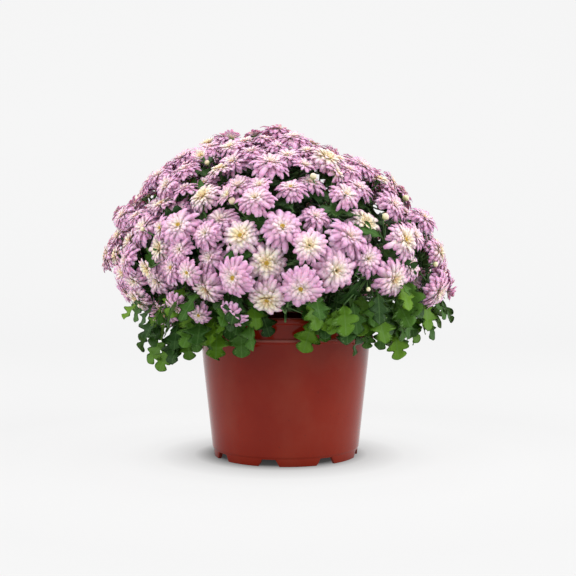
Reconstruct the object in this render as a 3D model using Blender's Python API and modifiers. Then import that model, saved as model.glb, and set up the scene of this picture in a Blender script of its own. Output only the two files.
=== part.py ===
# A potted chrysanthemum: a dome of lilac blooms on leafy stems, in a round red nursery pot.
# Metres, +Z up, and the front faces -Y. The origin is on the floor under the middle of the
# whole plant, which leans, so the pot's axis stands a little beside it.

import math

import bmesh
import bpy
import numpy as np
from mathutils import Matrix, Vector
from mathutils.bvhtree import BVHTree

# Pot
POT_AXIS_X = 0.0060
POT_HEIGHT = 0.175
LIP_RADIUS = 0.1115
LIP_DEPTH = 0.0075
BAND_BOTTOM = 0.1455
BAND_RADIUS = 0.1095
BODY_TOP_RADIUS = 0.1064
BODY_LOW_RADIUS = 0.0922
WALL = 0.0018
FLOOR_UNDERSIDE = 0.0105
FOOT_RADIUS = 0.0898
FOOT_WIDTH = 0.0050
FOOT_COUNT = 8
FOOT_TURN = math.radians(-80.0)
NOTCH_HEIGHT = 0.0085
NOTCH_TOP_HALF = 0.0085
NOTCH_LOW_HALF = 0.0145
DRAIN_COUNT = 6
DRAIN_RADIUS = 0.0055
DRAIN_CIRCLE = 0.060
POT_SIDES = 28

# Soil
SOIL_TOP = 0.158
SOIL_MOUND = 0.004
SOIL_SIDES = 15
GAP = 0.0004

# Crown, the dome that the blooms make
CROWN_RADIUS = 0.2170
CROWN_WAIST = 0.240
CROWN_RISE = 0.171
CROWN_TUCK = 0.100
RISE_POWER = 1.7
SPREAD_POWER = 1.6
LEAN = -0.024
LEAN_FROM = 0.210
LEAN_SPAN = 0.200
GOLDEN_ANGLE = math.pi * (3.0 - math.sqrt(5.0))

# Blooms
SEED = 20
BLOOM_SITES = 170
BLOOM_DEPTH = 0.0045
BLOOM_TIERS = 3
TIER_STEP = 0.0085
BLOOM_LOW = 0.178
BLOOM_TUCK = 0.66
BARE_AZIMUTH = math.radians(-62.0)
BARE_SPREAD = math.radians(24.0)
BARE_LIFT = 0.030
SIDE_LIFT = 0.018
BLOOM_RADIUS = (0.0182, 0.0238)
BLOOM_CLEAR = 0.0010
TUCKED = 0.55
SHRINK = 0.93
SHRINK_ROUNDS = 8
STALK_TESTED = 0.7
SMALL_BLOOM = 0.0190
NOTCH_SHARE = 0.72
CALYX_RADIUS = 0.0022
CALYX_DROP = 0.36
PEDICEL_RADIUS = 0.0009

# Sprays
SPRAY_COUNT = 40
HUB_DEPTH = 0.040
HUB_TUCK = 0.56
HUB_RADIUS = 0.0055

# Leafy stems
SECTOR_COUNT = 10
SECTOR_TURN = math.radians(-90.0)
CROWN_STEM_REACH = 0.072
STEM_RADIUS = 0.0026
TWIG_RADIUS = 0.0016
PETIOLE_RADIUS = 0.0011
STEM_FOOT = 0.046
STEM_SUNK = 0.018
LEAF_LENGTH = (0.044, 0.058)
LEAF_THICK = 0.0012
LEAF_FOLD = 0.18

LILAC = (0.62, 0.33, 0.60, 1.0)
LEAF_GREEN = (0.07, 0.20, 0.035, 1.0)
POT_RED = (0.36, 0.055, 0.025, 1.0)
PEAT = (0.045, 0.030, 0.022, 1.0)


def clear_scene():
    for obj in list(bpy.data.objects):
        bpy.data.objects.remove(obj)


def material(name, colour, roughness):
    made = bpy.data.materials.new(name)
    made.use_nodes = True
    shader = made.node_tree.nodes["Principled BSDF"]
    shader.inputs["Base Color"].default_value = colour
    shader.inputs["Roughness"].default_value = roughness
    shader.inputs["Metallic"].default_value = 0.0
    return made


def collection(name):
    made = bpy.data.collections.new(name)
    bpy.context.scene.collection.children.link(made)
    return made


def mesh_object(name, points, faces, home):
    """A mesh object with its faces turned outwards."""
    mesh = bpy.data.meshes.new(name)
    mesh.from_pydata([tuple(point) for point in points], [], faces)
    work = bmesh.new()
    work.from_mesh(mesh)
    bmesh.ops.recalc_face_normals(work, faces=work.faces)
    work.to_mesh(mesh)
    work.free()
    obj = bpy.data.objects.new(name, mesh)
    home.objects.link(obj)
    return obj


def baked(obj, home):
    """The object as its modifiers leave it, as a plain mesh in its place."""
    bpy.context.view_layer.update()
    graph = bpy.context.evaluated_depsgraph_get()
    mesh = bpy.data.meshes.new_from_object(obj.evaluated_get(graph))
    name, place = obj.name, obj.matrix_world.copy()
    bpy.data.objects.remove(obj)
    work = bmesh.new()
    work.from_mesh(mesh)
    bmesh.ops.remove_doubles(work, verts=work.verts, dist=1e-6)
    bmesh.ops.triangulate(work, faces=work.faces)
    work.to_mesh(mesh)
    work.free()
    made = bpy.data.objects.new(name, mesh)
    made.matrix_world = place
    home.objects.link(made)
    return made


def fused(name, pieces, home, operation="UNION", base=None):
    """One Boolean joins the pieces into one body, or cuts them from the base."""
    others = collection("pieces")
    for piece in pieces:
        for old in piece.users_collection:
            old.objects.unlink(piece)
        others.objects.link(piece)
    if base is None:
        base = pieces[0]
        others.objects.unlink(base)
        home.objects.link(base)
    base.name = name
    join = base.modifiers.new("join", "BOOLEAN")
    join.operand_type = "COLLECTION"
    join.collection = others
    join.operation = operation
    join.solver = "EXACT"
    made = baked(base, home)
    for piece in list(others.objects):
        bpy.data.objects.remove(piece)
    bpy.data.collections.remove(others)
    made.name = name
    drop_scraps(made.data)
    return made


def drop_scraps(mesh):
    """Keeps the largest group of faces that meet in pairs along their edges."""
    work = bmesh.new()
    work.from_mesh(mesh)
    seen, groups = set(), []
    for first in work.faces:
        if first in seen:
            continue
        group, waiting = [], [first]
        seen.add(first)
        while waiting:
            face = waiting.pop()
            group.append(face)
            for edge in face.edges:
                if len(edge.link_faces) == 2:
                    fresh = [other for other in edge.link_faces if other not in seen]
                    seen.update(fresh)
                    waiting += fresh
        groups.append(group)
    groups.sort(key=len)
    for group in groups[:-1]:
        bmesh.ops.delete(work, geom=group, context="FACES")
    work.to_mesh(mesh)
    work.free()


def turned(name, profile, sides, home):
    """A closed body turned from a profile that starts and ends on the axis."""
    mesh = bpy.data.meshes.new(name)
    points = [(radius, 0.0, height) for radius, height in profile]
    mesh.from_pydata(points, [(i, i + 1) for i in range(len(points) - 1)], [])
    obj = bpy.data.objects.new(name, mesh)
    home.objects.link(obj)
    screw = obj.modifiers.new("turn", "SCREW")
    screw.steps = screw.render_steps = sides
    screw.use_merge_vertices = True
    screw.merge_threshold = 1e-5
    return baked(obj, home)


def tube(name, points, radius, home, taper=1.0):
    """A four-sided stem along the points, thinning to taper times its radius."""
    curve = bpy.data.curves.new(name, "CURVE")
    curve.dimensions = "3D"
    curve.bevel_depth = radius
    curve.bevel_resolution = 0
    curve.use_fill_caps = True
    spline = curve.splines.new("POLY")
    spline.points.add(len(points) - 1)
    for i, point in enumerate(points):
        spline.points[i].co = (*point, 1.0)
        spline.points[i].radius = 1.0 + (taper - 1.0) * i / (len(points) - 1)
    obj = bpy.data.objects.new(name, curve)
    home.objects.link(obj)
    return baked(obj, home)


def cylinder(name, radius, low, high, centre, sides, home):
    work = bmesh.new()
    bmesh.ops.create_cone(
        work, cap_ends=True, segments=sides, radius1=radius, radius2=radius, depth=high - low
    )
    mesh = bpy.data.meshes.new(name)
    work.to_mesh(mesh)
    work.free()
    obj = bpy.data.objects.new(name, mesh)
    obj.location = (centre[0], centre[1], (low + high) / 2.0)
    home.objects.link(obj)
    return obj


def polar(radius, azimuth, height):
    return Vector((radius * math.cos(azimuth), radius * math.sin(azimuth), height))


# Pot and soil


def body_radius(height):
    """The pot's outer wall between its foot and its band."""
    share = (height - FLOOR_UNDERSIDE) / (BAND_BOTTOM - FLOOR_UNDERSIDE)
    return BODY_LOW_RADIUS + share * (BODY_TOP_RADIUS - BODY_LOW_RADIUS)


def make_pot(home):
    lip_low = POT_HEIGHT - LIP_DEPTH
    floor_top = FLOOR_UNDERSIDE + WALL
    profile = [
        (0.0, floor_top),
        (body_radius(floor_top) - WALL, floor_top),
        (BODY_TOP_RADIUS - WALL, BAND_BOTTOM + 0.001),
        (BAND_RADIUS - WALL, BAND_BOTTOM + 0.003),
        (LIP_RADIUS - 0.0035, POT_HEIGHT),
        (LIP_RADIUS - 0.0005, POT_HEIGHT),
        (LIP_RADIUS, lip_low),
        (LIP_RADIUS - 0.0014, lip_low - 0.0008),
        (BAND_RADIUS, BAND_BOTTOM),
        (BODY_TOP_RADIUS, BAND_BOTTOM - 0.0004),
        (BODY_LOW_RADIUS, FLOOR_UNDERSIDE),
        (FOOT_RADIUS, FLOOR_UNDERSIDE - 0.001),
        (FOOT_RADIUS - 0.001, 0.0),
        (FOOT_RADIUS - FOOT_WIDTH, 0.0),
        (FOOT_RADIUS - FOOT_WIDTH, FLOOR_UNDERSIDE),
        (0.0, FLOOR_UNDERSIDE),
    ]
    pot = turned("pot", profile, POT_SIDES, home)
    cutters = []
    for k in range(FOOT_COUNT):
        turn = FOOT_TURN + (k + 0.5) * 2.0 * math.pi / FOOT_COUNT
        cutters.append(make_notch(turn, home))
    for k in range(DRAIN_COUNT):
        centre = polar(DRAIN_CIRCLE, k * 2.0 * math.pi / DRAIN_COUNT, 0.0)
        cutters.append(
            cylinder("drain", DRAIN_RADIUS, 0.006, floor_top + 0.004, centre, 6, home)
        )
    return fused("pot", cutters, home, "DIFFERENCE", pot)


def make_notch(azimuth, home):
    """The gap between two feet: a wedge with sloping sides, through the foot ring."""
    inner, outer = FOOT_RADIUS - 0.014, FOOT_RADIUS + 0.012
    low, high = -0.004, NOTCH_HEIGHT
    section = [
        (-NOTCH_LOW_HALF, low),
        (NOTCH_LOW_HALF, low),
        (NOTCH_TOP_HALF, high),
        (-NOTCH_TOP_HALF, high),
    ]
    points = []
    for reach in (inner, outer):
        for across, height in section:
            along = polar(reach, azimuth, height)
            points.append(along + polar(across, azimuth + math.pi / 2.0, 0.0))
    faces = [(0, 1, 2, 3), (7, 6, 5, 4)]
    faces += [(i, (i + 1) % 4, (i + 1) % 4 + 4, i + 4) for i in range(4)]
    return mesh_object("notch", points, faces, home)


def make_soil(stem_feet, home):
    floor = FLOOR_UNDERSIDE + WALL + GAP
    chord = math.cos(math.pi / POT_SIDES)
    low_radius = (body_radius(floor) - WALL - GAP) * chord
    high_radius = (body_radius(BAND_BOTTOM - 0.002) - WALL - GAP) * chord
    profile = [
        (0.0, SOIL_TOP + SOIL_MOUND),
        (0.035, SOIL_TOP + SOIL_MOUND * 0.8),
        (0.070, SOIL_TOP),
        (high_radius - 0.001, SOIL_TOP - 0.003),
        (high_radius, BAND_BOTTOM - 0.002),
        (low_radius, floor),
        (0.0, floor),
    ]
    soil = turned("soil", profile, SOIL_SIDES, home)
    roughen_soil(soil)
    holes = [
        cylinder("hole", STEM_RADIUS * 1.25, SOIL_TOP - STEM_SUNK - GAP, 0.18, foot, 6, home)
        for foot in stem_feet
    ]
    return fused("soil", holes, home, "DIFFERENCE", soil)


def roughen_soil(soil):
    """Low crumbs and hollows on the top rings, by a sum of waves."""
    for vertex in soil.data.vertices:
        x, y, z = vertex.co
        if z > SOIL_TOP - 0.001:
            vertex.co.z += 0.0016 * math.sin(97.0 * x + 1.3) * math.cos(113.0 * y)


# Crown: where blooms, sprays and leaves go


def crown_profile(angle):
    """Radius and height of the dome, from angle 0 at its top through pi/2 at its waist."""
    angle = np.asarray(angle, float)
    upper = np.clip(angle, 0.0, math.pi / 2.0)
    under = np.clip(angle - math.pi / 2.0, 0.0, 1.2)
    radius = CROWN_RADIUS * np.sin(upper) ** (2.0 / SPREAD_POWER) * np.cos(under) ** 0.6
    height = CROWN_WAIST + CROWN_RISE * np.cos(upper) ** (2.0 / RISE_POWER)
    return radius, height - CROWN_TUCK * np.sin(under)


def crown_point(angle, azimuth, depth):
    """Points on the dome, moved inwards by depth along its normal, and those normals."""
    step = 1e-3
    radius, height = crown_profile(angle)
    radius_on, height_on = crown_profile(angle + step)
    slope = np.stack([radius_on - radius, height_on - height], -1)
    slope /= np.linalg.norm(slope, axis=-1, keepdims=True)
    out, up = -slope[..., 1], slope[..., 0]
    radius, height = radius - depth * out, height - depth * up
    swing = np.clip((height - LEAN_FROM) / LEAN_SPAN, 0.0, 1.0)
    shift = LEAN * np.sqrt(swing)
    point = np.stack(
        [radius * np.cos(azimuth) + shift, radius * np.sin(azimuth), height], -1
    )
    normal = np.stack([out * np.cos(azimuth), out * np.sin(azimuth), up], -1)
    return point, normal


def even_sites(count, last_angle):
    """A golden spiral that gives every site the same share of the dome's area."""
    angles = np.linspace(0.0, last_angle, 900)
    radius, height = crown_profile(angles)
    lengths = np.hypot(np.diff(radius), np.diff(height))
    area = np.concatenate([[0.0], np.cumsum(lengths * (radius[1:] + radius[:-1]))])
    share = (np.arange(count) + 0.5) / count * area[-1]
    return np.interp(share, area, angles), np.arange(count) * GOLDEN_ANGLE


def low_edge(azimuth):
    """How far down the blooms go: higher at the sides and where the photo shows bare leaves."""
    away = np.angle(np.exp(1j * (azimuth - BARE_AZIMUTH)))
    lift = BARE_LIFT * np.exp(-((away / BARE_SPREAD) ** 2))
    return BLOOM_LOW + lift + SIDE_LIFT * np.cos(azimuth) ** 2


def bloom_layout():
    """Centres, facing directions and radii of the blooms, none touching another."""
    draw = np.random.default_rng(SEED)
    angle, azimuth = even_sites(BLOOM_SITES, math.pi / 2.0 + BLOOM_TUCK)
    radius = crown_profile(angle)[0]
    angle = angle + draw.normal(0.0, 0.014, BLOOM_SITES)
    azimuth = azimuth + draw.normal(0.0, 0.0030, BLOOM_SITES) / np.maximum(radius, 0.02)
    tier = spread_tiers(crown_point(np.abs(angle), azimuth, 0.0)[0])
    depth = BLOOM_DEPTH + TIER_STEP * tier + draw.uniform(-0.001, 0.001, BLOOM_SITES)
    centre, normal = crown_point(np.abs(angle), azimuth, depth)
    tilt = draw.normal(0.0, 0.12, (BLOOM_SITES, 3))
    size = draw.uniform(*BLOOM_RADIUS, BLOOM_SITES)
    kept = centre[:, 2] > low_edge(azimuth)
    centre, normal, size = centre[kept], normal[kept] + tilt[kept], size[kept]
    normal /= np.linalg.norm(normal, axis=1, keepdims=True)
    apart = centre[:, None] - centre[None]
    drop = np.abs(np.einsum("ijk,ik->ij", apart, normal))
    beside = np.sqrt(np.maximum((apart**2).sum(2) - drop**2, 0.0))
    for first in range(len(size)):
        for second in range(first + 1, len(size)):
            under = 1.0 if drop[first, second] < 0.7 * TIER_STEP else TUCKED
            need = (1.0 + under) * max(size[first], size[second])
            room = beside[first, second] - BLOOM_CLEAR
            if need > room:
                size[first] = min(size[first], room / (1.0 + under))
                size[second] = min(size[second], room / (1.0 + under))
    return centre, normal, size


def spread_tiers(places):
    """A height for each bloom, as unlike its close neighbours' heights as can be."""
    tier = np.zeros(len(places), int)
    for index in range(1, len(places)):
        apart = np.linalg.norm(places[:index] - places[index], axis=1)
        nearest = [
            apart[tier[:index] == level].min(initial=1.0) for level in range(BLOOM_TIERS)
        ]
        tier[index] = int(np.argmax(nearest))
    return tier


def spray_hubs():
    """Where the flower stalks of each spray meet, under the blooms."""
    angle, azimuth = even_sites(SPRAY_COUNT, math.pi / 2.0 + HUB_TUCK)
    return crown_point(angle, azimuth + 0.6, HUB_DEPTH)[0]


# Blooms


def ring(work, origin, across, along, facing, radii, height, turn):
    """A ring of corners round a bloom's axis, each with its angle and its own radius."""
    found = []
    for k, radius in enumerate(radii):
        angle = turn + k * 2.0 * math.pi / len(radii)
        lift = height[k % len(height)]
        point = origin + radius * (math.cos(angle) * across + math.sin(angle) * along)
        found.append((angle, work.verts.new(point + lift * facing)))
    return found


def loft(work, lower, upper):
    """Triangles between two rings of unlike counts, taken in order of angle."""
    i = j = 0
    full = 2.0 * math.pi
    while i < len(lower) or j < len(upper):
        next_low = lower[(i + 1) % len(lower)][0] + full * ((i + 1) // len(lower))
        next_up = upper[(j + 1) % len(upper)][0] + full * ((j + 1) // len(upper))
        low, up = lower[i % len(lower)][1], upper[j % len(upper)][1]
        if j >= len(upper) or (i < len(lower) and next_low <= next_up):
            work.faces.new((low, lower[(i + 1) % len(lower)][1], up))
            i += 1
        else:
            work.faces.new((low, upper[(j + 1) % len(upper)][1], up))
            j += 1


def bloom_shape(index, centre, facing, size, hub):
    """A rosette of outer and inner petals on its own stalk, which runs into the hub."""
    petals = 5 if size < SMALL_BLOOM else 6
    across = facing.orthogonal().normalized()
    along = facing.cross(across)
    turn = index * GOLDEN_ANGLE % (math.pi / petals)
    droop = -0.10 * size * math.sin(index * 1.7)
    work = bmesh.new()
    tips = [size, size * NOTCH_SHARE] * petals
    outer = ring(work, centre, across, along, facing, tips, (droop, size * 0.04), turn)
    inner_turn = turn + math.pi / petals
    crest = (size * 0.34, size * 0.26)
    inner = ring(work, centre, across, along, facing, [size * 0.52] * petals, crest, inner_turn)
    neck = centre - facing * CALYX_DROP * size
    rise = (neck - hub).normalized()
    side = (across - across.dot(rise) * rise).normalized()
    calyx, foot = (
        ring(work, place, side, rise.cross(side), rise, [radius] * 3, (0.0,), turn)
        for place, radius in ((neck, CALYX_RADIUS), (hub, PEDICEL_RADIUS))
    )
    loft(work, outer, inner)
    loft(work, calyx, outer)
    loft(work, foot, calyx)
    work.faces.new([corner for _, corner in inner])
    work.faces.new([corner for _, corner in reversed(foot)])
    bmesh.ops.recalc_face_normals(work, faces=work.faces)
    return work


def make_hub(place, home):
    work = bmesh.new()
    bmesh.ops.create_uvsphere(work, u_segments=4, v_segments=2, radius=HUB_RADIUS)
    bmesh.ops.translate(work, verts=work.verts, vec=place)
    mesh = bpy.data.meshes.new("hub")
    work.to_mesh(mesh)
    work.free()
    obj = bpy.data.objects.new("hub", mesh)
    home.objects.link(obj)
    return obj


def make_sprays(home):
    """Each spray is the blooms nearest to one hub, joined by their stalks."""
    centres, facings, sizes = bloom_layout()
    hubs = spray_hubs()
    nearest = np.argmin(np.linalg.norm(centres[:, None] - hubs[None], axis=2), axis=1)
    blooms = [
        [k, Vector(centres[k]), Vector(facings[k]), float(sizes[k]), Vector(hubs[nearest[k]])]
        for k in range(len(sizes))
    ]
    part_blooms(blooms)
    sprays, used = [], []
    for number, hub in enumerate(hubs):
        members = [bloom for bloom in blooms if nearest[bloom[0]] == number]
        if not members:
            continue
        pieces = [make_hub(Vector(hub), home)]
        for bloom in members:
            mesh = bpy.data.meshes.new("bloom")
            work = bloom_shape(*bloom)
            work.to_mesh(mesh)
            work.free()
            pieces.append(bpy.data.objects.new("bloom", mesh))
            home.objects.link(pieces[-1])
        sprays.append(fused(f"spray_{len(used) + 1:02d}", pieces, home))
        used.append(Vector(hub))
    return sprays, used


def bloom_tree(bloom, share):
    """A bloom's faces for testing, with this share of its stalk."""
    index, centre, facing, size, hub = bloom
    work = bloom_shape(index, centre, facing, size + BLOOM_CLEAR / 2.0, centre.lerp(hub, share))
    tree = BVHTree.FromBMesh(work)
    work.free()
    return tree


def part_blooms(blooms):
    """Shrinks the blooms that still cross another one, a little each round.

    Blooms of one spray meet in its hub, so they are tested without the ends of their stalks.
    """
    for _ in range(SHRINK_ROUNDS):
        whole = [bloom_tree(bloom, 1.0) for bloom in blooms]
        topped = [bloom_tree(bloom, STALK_TESTED) for bloom in blooms]
        crossed = set()
        for first, bloom in enumerate(blooms):
            for second in range(first + 1, len(blooms)):
                near = (bloom[1] - blooms[second][1]).length < 0.09
                trees = topped if bloom[4] == blooms[second][4] else whole
                if near and trees[first].overlap(trees[second]):
                    crossed |= {first, second}
        for index in crossed:
            blooms[index][3] *= SHRINK
        if not crossed:
            break
    print("blooms still crossing:", len(crossed))


# Leaves and stems

# Half of a lobed leaf: share of the length, and share of the length to one side.
LEAF_HALF = (
    (0.15, 0.045),
    (0.33, 0.30),
    (0.44, 0.12),
    (0.62, 0.34),
    (0.73, 0.14),
    (0.89, 0.14),
)
LEAF_RIB = (0.26, 0.66)


def leaf_shape(length, arch, fold, thick):
    """A lobed blade with its rib on two faces, arched along it and folded across it."""

    def lifted(along, across):
        sag = -arch * length * along * along
        return Vector((along * length, across * length, sag + fold * abs(across) * length))

    half = len(LEAF_HALF)
    edge = [lifted(0.0, 0.0)]
    edge += [lifted(x, -y) for x, y in LEAF_HALF]
    edge += [lifted(1.0, 0.0)]
    edge += [lifted(x, y) for x, y in reversed(LEAF_HALF)]
    rib = [lifted(x, 0.0) for x in LEAF_RIB]
    above = [point + Vector((0.0, 0.0, thick / 2.0)) for point in rib]
    below = [point - Vector((0.0, 0.0, thick / 2.0)) for point in rib]
    # Each edge corner belongs to the nearest rib point, and the fan passes on where that changes.
    owner = [0, 0, 0, 0, 1, 1, 1, 1]
    count = len(edge)
    rib_of = owner + owner[half:0:-1]
    faces = []
    for side, start in ((1, count), (-1, count + len(rib))):
        for k in range(count):
            after = (k + 1) % count
            corners = (k, after, start + rib_of[k])
            faces.append(corners[::side])
            if rib_of[k] != rib_of[after]:
                corners = (after, start + rib_of[after], start + rib_of[k])
                faces.append(corners[::side])
    return edge + above + below, faces


def leaf_frame(base, heading, facing):
    """Axes of a leaf: along its blade, across it, and out of its upper face."""
    along = heading.normalized()
    across = facing.cross(along).normalized()
    return base, along, across, along.cross(across)


def placed(points, frame):
    base, along, across, out = frame
    return [base + p.x * along + p.y * across + p.z * out for p in points]


def leaf_tries(base, heading, facing, length, arch):
    """The leaf as drawn and, where another piece is in its way, turned and shortened."""
    across = facing.cross(heading).normalized()
    for size, turn, dip in (
        (1.0, 0.0, 0.0),
        (0.92, 0.25, -0.15),
        (0.92, -0.25, -0.15),
        (0.84, 0.0, -0.40),
        (0.80, 0.40, 0.15),
        (0.80, -0.40, 0.15),
        (0.70, 0.0, -0.20),
    ):
        turned_heading = heading + across * turn + facing * dip
        yield leaf_frame(base, turned_heading, facing), length * size, arch


def tree_of(obj):
    mesh = obj.data
    corners = [obj.matrix_world @ vertex.co for vertex in mesh.vertices]
    return BVHTree.FromPolygons(corners, [tuple(face.vertices) for face in mesh.polygons])


def grow_leaf(slot, arch, obstacles, home, root=None):
    """Adds the first of the leaf's tries that stays clear of every obstacle, with its stalk."""
    for frame, size, bend in leaf_tries(*slot, arch):
        guard, faces = leaf_shape(size * 1.04, bend, LEAF_FOLD, LEAF_THICK * 3.0)
        probe = BVHTree.FromPolygons(placed(guard, frame), faces)
        if any(probe.overlap(tree) for tree in obstacles):
            continue
        points, faces = leaf_shape(size, bend, LEAF_FOLD, LEAF_THICK)
        grown = [mesh_object("leaf", placed(points, frame), faces, home)]
        if root is not None:
            end = frame[0] + frame[1] * size * 0.25
            stalk = clear_tube([[root, end]], PETIOLE_RADIUS, obstacles, home)
            if not stalk:
                bpy.data.objects.remove(grown.pop())
                continue
            grown += stalk
        return grown
    return []


# Side twigs as radius and height, and their leaves as place on the twig, yaw and pitch.
LOW_TWIG = ((0.0530, 0.1865), (0.112, 0.196), (0.140, 0.172))
LOW_LEAVES = ((1.30, -0.42, -0.95), (1.65, 0.46, -1.15), (1.96, -0.08, -1.35))
HIGH_TWIG = ((0.0560, 0.1945), (0.126, 0.208), (0.170, 0.183))
HIGH_LEAVES = ((1.10, 0.62, -0.35), (1.40, -0.60, -0.50), (1.70, 0.50, -0.80), (1.96, -0.10, -1.05))
TWIG_SWINGS = (0.0, 0.10, -0.10, 0.20, -0.20, 0.30, -0.30)


def grow_twig(middle, profile, leaves, blocked, draw, home):
    """A twig that hangs out over the rim, at the first angle that is clear, with its leaves."""
    sag = 0.008 * math.sin(2.0 * middle + 0.6)
    routes = []
    for swing in TWIG_SWINGS:
        heights = (0.0, sag, sag)
        turns = (middle, middle + swing, middle + swing)
        routes.append([polar(r, t, z - h) for (r, z), t, h in zip(profile, turns, heights)])
    clear = [route for route in routes if is_clear(route, TWIG_RADIUS, blocked, home)]
    if not clear:
        return []
    route = clear[0]
    grown = [tube("twig", route, TWIG_RADIUS, home, 0.8)]
    for place, yaw, pitch in leaves:
        start = int(place)
        base = route[start].lerp(route[start + 1], place - start)
        turn = middle + yaw + draw.uniform(-0.10, 0.10)
        dip = pitch + draw.uniform(-0.16, 0.16)
        heading = polar(math.cos(dip), turn, math.sin(dip))
        facing = polar(-math.sin(dip), turn, math.cos(dip))
        slot = (base, heading, facing, draw.uniform(*LEAF_LENGTH))
        leaf = grow_leaf(slot, draw.uniform(0.05, 0.22), blocked, home)
        blocked += [tree_of(piece) for piece in leaf]
        grown += leaf
    return grown


def shade_slots(sector, draw):
    """Leaves just under the blooms, lying along the dome."""
    middle = SECTOR_TURN + sector * 2.0 * math.pi / SECTOR_COUNT
    slots = []
    turn = middle + draw.uniform(-0.10, 0.10)
    point, normal = crown_point(np.array(1.1), turn, 0.050)
    across = polar(1.0, middle + math.pi / 2.0, 0.0)
    facing = Vector(normal)
    heading = across.cross(facing) + across * draw.uniform(-0.3, 0.3)
    start = Vector(point) + heading.normalized() * 0.022
    slots.append((start, -heading, facing, draw.uniform(*LEAF_LENGTH)))
    return slots


def is_clear(route, radius, obstacles, home):
    guard = tube("guard", route, radius + GAP, home)
    probe = tree_of(guard)
    bpy.data.objects.remove(guard)
    return not any(probe.overlap(tree) for tree in obstacles)


def clear_tube(routes, radius, obstacles, home, taper=1.0):
    """A stem along the first of the routes that stays clear of every obstacle."""
    for route in routes:
        if is_clear(route, radius, obstacles, home):
            return [tube("stem", route, radius, home, taper)]
    return []


def branch_to(start, hub, obstacles, home):
    """A branch from inside its stem to just short of the spray's hub, bent where it must be."""
    side = (hub - start).orthogonal().normalized()
    other = side.cross(hub - start).normalized()
    routes = []
    for bend in (0.0, 0.006, 0.012, 0.018):
        for way in (side, other, -side, -other):
            knee = start.lerp(hub, 0.55) + way * bend
            end = hub - (hub - knee).normalized() * (HUB_RADIUS + GAP * 2.0)
            routes.append([start, knee, end] if bend else [start, end])
    return clear_tube(routes, TWIG_RADIUS, obstacles, home)


def make_sector(sector, hubs, obstacles, home):
    """One leafy stem: its main stem, a branch to each spray above it, and its leaves."""
    draw = np.random.default_rng(SEED + 100 + sector)
    middle = SECTOR_TURN + sector * 2.0 * math.pi / SECTOR_COUNT
    route = [
        polar(STEM_FOOT, middle, SOIL_TOP - STEM_SUNK),
        polar(STEM_FOOT, middle, SOIL_TOP + 0.010),
        polar(0.060, middle, 0.205),
        polar(0.088, middle, 0.240),
    ]
    pieces = [tube("stem", route, STEM_RADIUS, home, 0.8)]
    top = route[-1]
    for hub in hubs:
        pieces += branch_to(route[2].lerp(top, 0.88), hub, obstacles, home)
    blocked = list(obstacles)
    for profile, leaves in ((LOW_TWIG, LOW_LEAVES), (HIGH_TWIG, HIGH_LEAVES)):
        pieces += grow_twig(middle, profile, leaves, blocked, draw, home)
    for slot in shade_slots(sector, draw):
        grown = grow_leaf(slot, 0.10, blocked, home, route[2].lerp(top, 0.6))
        blocked += [tree_of(leaf) for leaf in grown[:1]]
        pieces += grown
    return fused(f"leafy_stem_{sector + 1:02d}", pieces, home)


def make_crown_stem(hubs, obstacles, home):
    """The upright stem in the middle, with a branch to each spray round the top."""
    foot = Vector((0.0, 0.0, SOIL_TOP - STEM_SUNK))
    top = Vector((0.0, 0.0, 0.275))
    pieces = [tube("stem", [foot, foot.lerp(top, 0.5), top], STEM_RADIUS, home, 0.8)]
    for hub in hubs:
        pieces += branch_to(foot.lerp(top, 0.95), hub, obstacles, home)
    for k in range(4):
        turn = k * math.pi / 2.0 + 0.4
        base = top + Vector((0.0, 0.0, -0.012 * k - 0.004))
        heading = polar(1.0, turn, 0.55)
        facing = polar(-0.5, turn, 1.0)
        pieces += grow_leaf((base, heading, facing, 0.050), 0.12, obstacles, home)
    return fused("crown_stem", pieces, home)


def sector_of(hub):
    """The sector whose middle is nearest in azimuth, or -1 for a spray over the centre."""
    if math.hypot(hub.x, hub.y) < CROWN_STEM_REACH:
        return -1
    turn = math.atan2(hub.y, hub.x) - SECTOR_TURN
    return round(turn * SECTOR_COUNT / (2.0 * math.pi)) % SECTOR_COUNT


def main():
    clear_scene()
    plant = collection("pot_chrysanthemum")
    finishes = {
        "pot": material("pot_plastic", POT_RED, 0.32),
        "soil": material("peat", PEAT, 0.95),
        "spray": material("petals", LILAC, 0.6),
        "leaf": material("leaves", LEAF_GREEN, 0.45),
    }
    sprays, hubs = make_sprays(plant)
    feet = [
        polar(STEM_FOOT, SECTOR_TURN + k * 2.0 * math.pi / SECTOR_COUNT, 0.0)
        for k in range(SECTOR_COUNT)
    ]
    pot = make_pot(plant)
    soil = make_soil(feet + [Vector((0.0, 0.0, 0.0))], plant)
    obstacles = [tree_of(obj) for obj in sprays + [pot, soil]]
    middle_hubs = [hub for hub in hubs if sector_of(hub) < 0]
    stems = [make_crown_stem(middle_hubs, obstacles, plant)]
    for sector in range(SECTOR_COUNT):
        own = [hub for hub in hubs if sector_of(hub) == sector]
        others = obstacles + [tree_of(stem) for stem in stems]
        stems.append(make_sector(sector, own, others, plant))
    groups = (([pot], "pot"), ([soil], "soil"), (sprays, "spray"), (stems, "leaf"))
    for group, finish in groups:
        for obj in group:
            obj.data.materials.clear()
            obj.data.materials.append(finishes[finish])
            obj.data.transform(Matrix.Translation((POT_AXIS_X, 0.0, 0.0)))


main()
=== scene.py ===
import math

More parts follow.
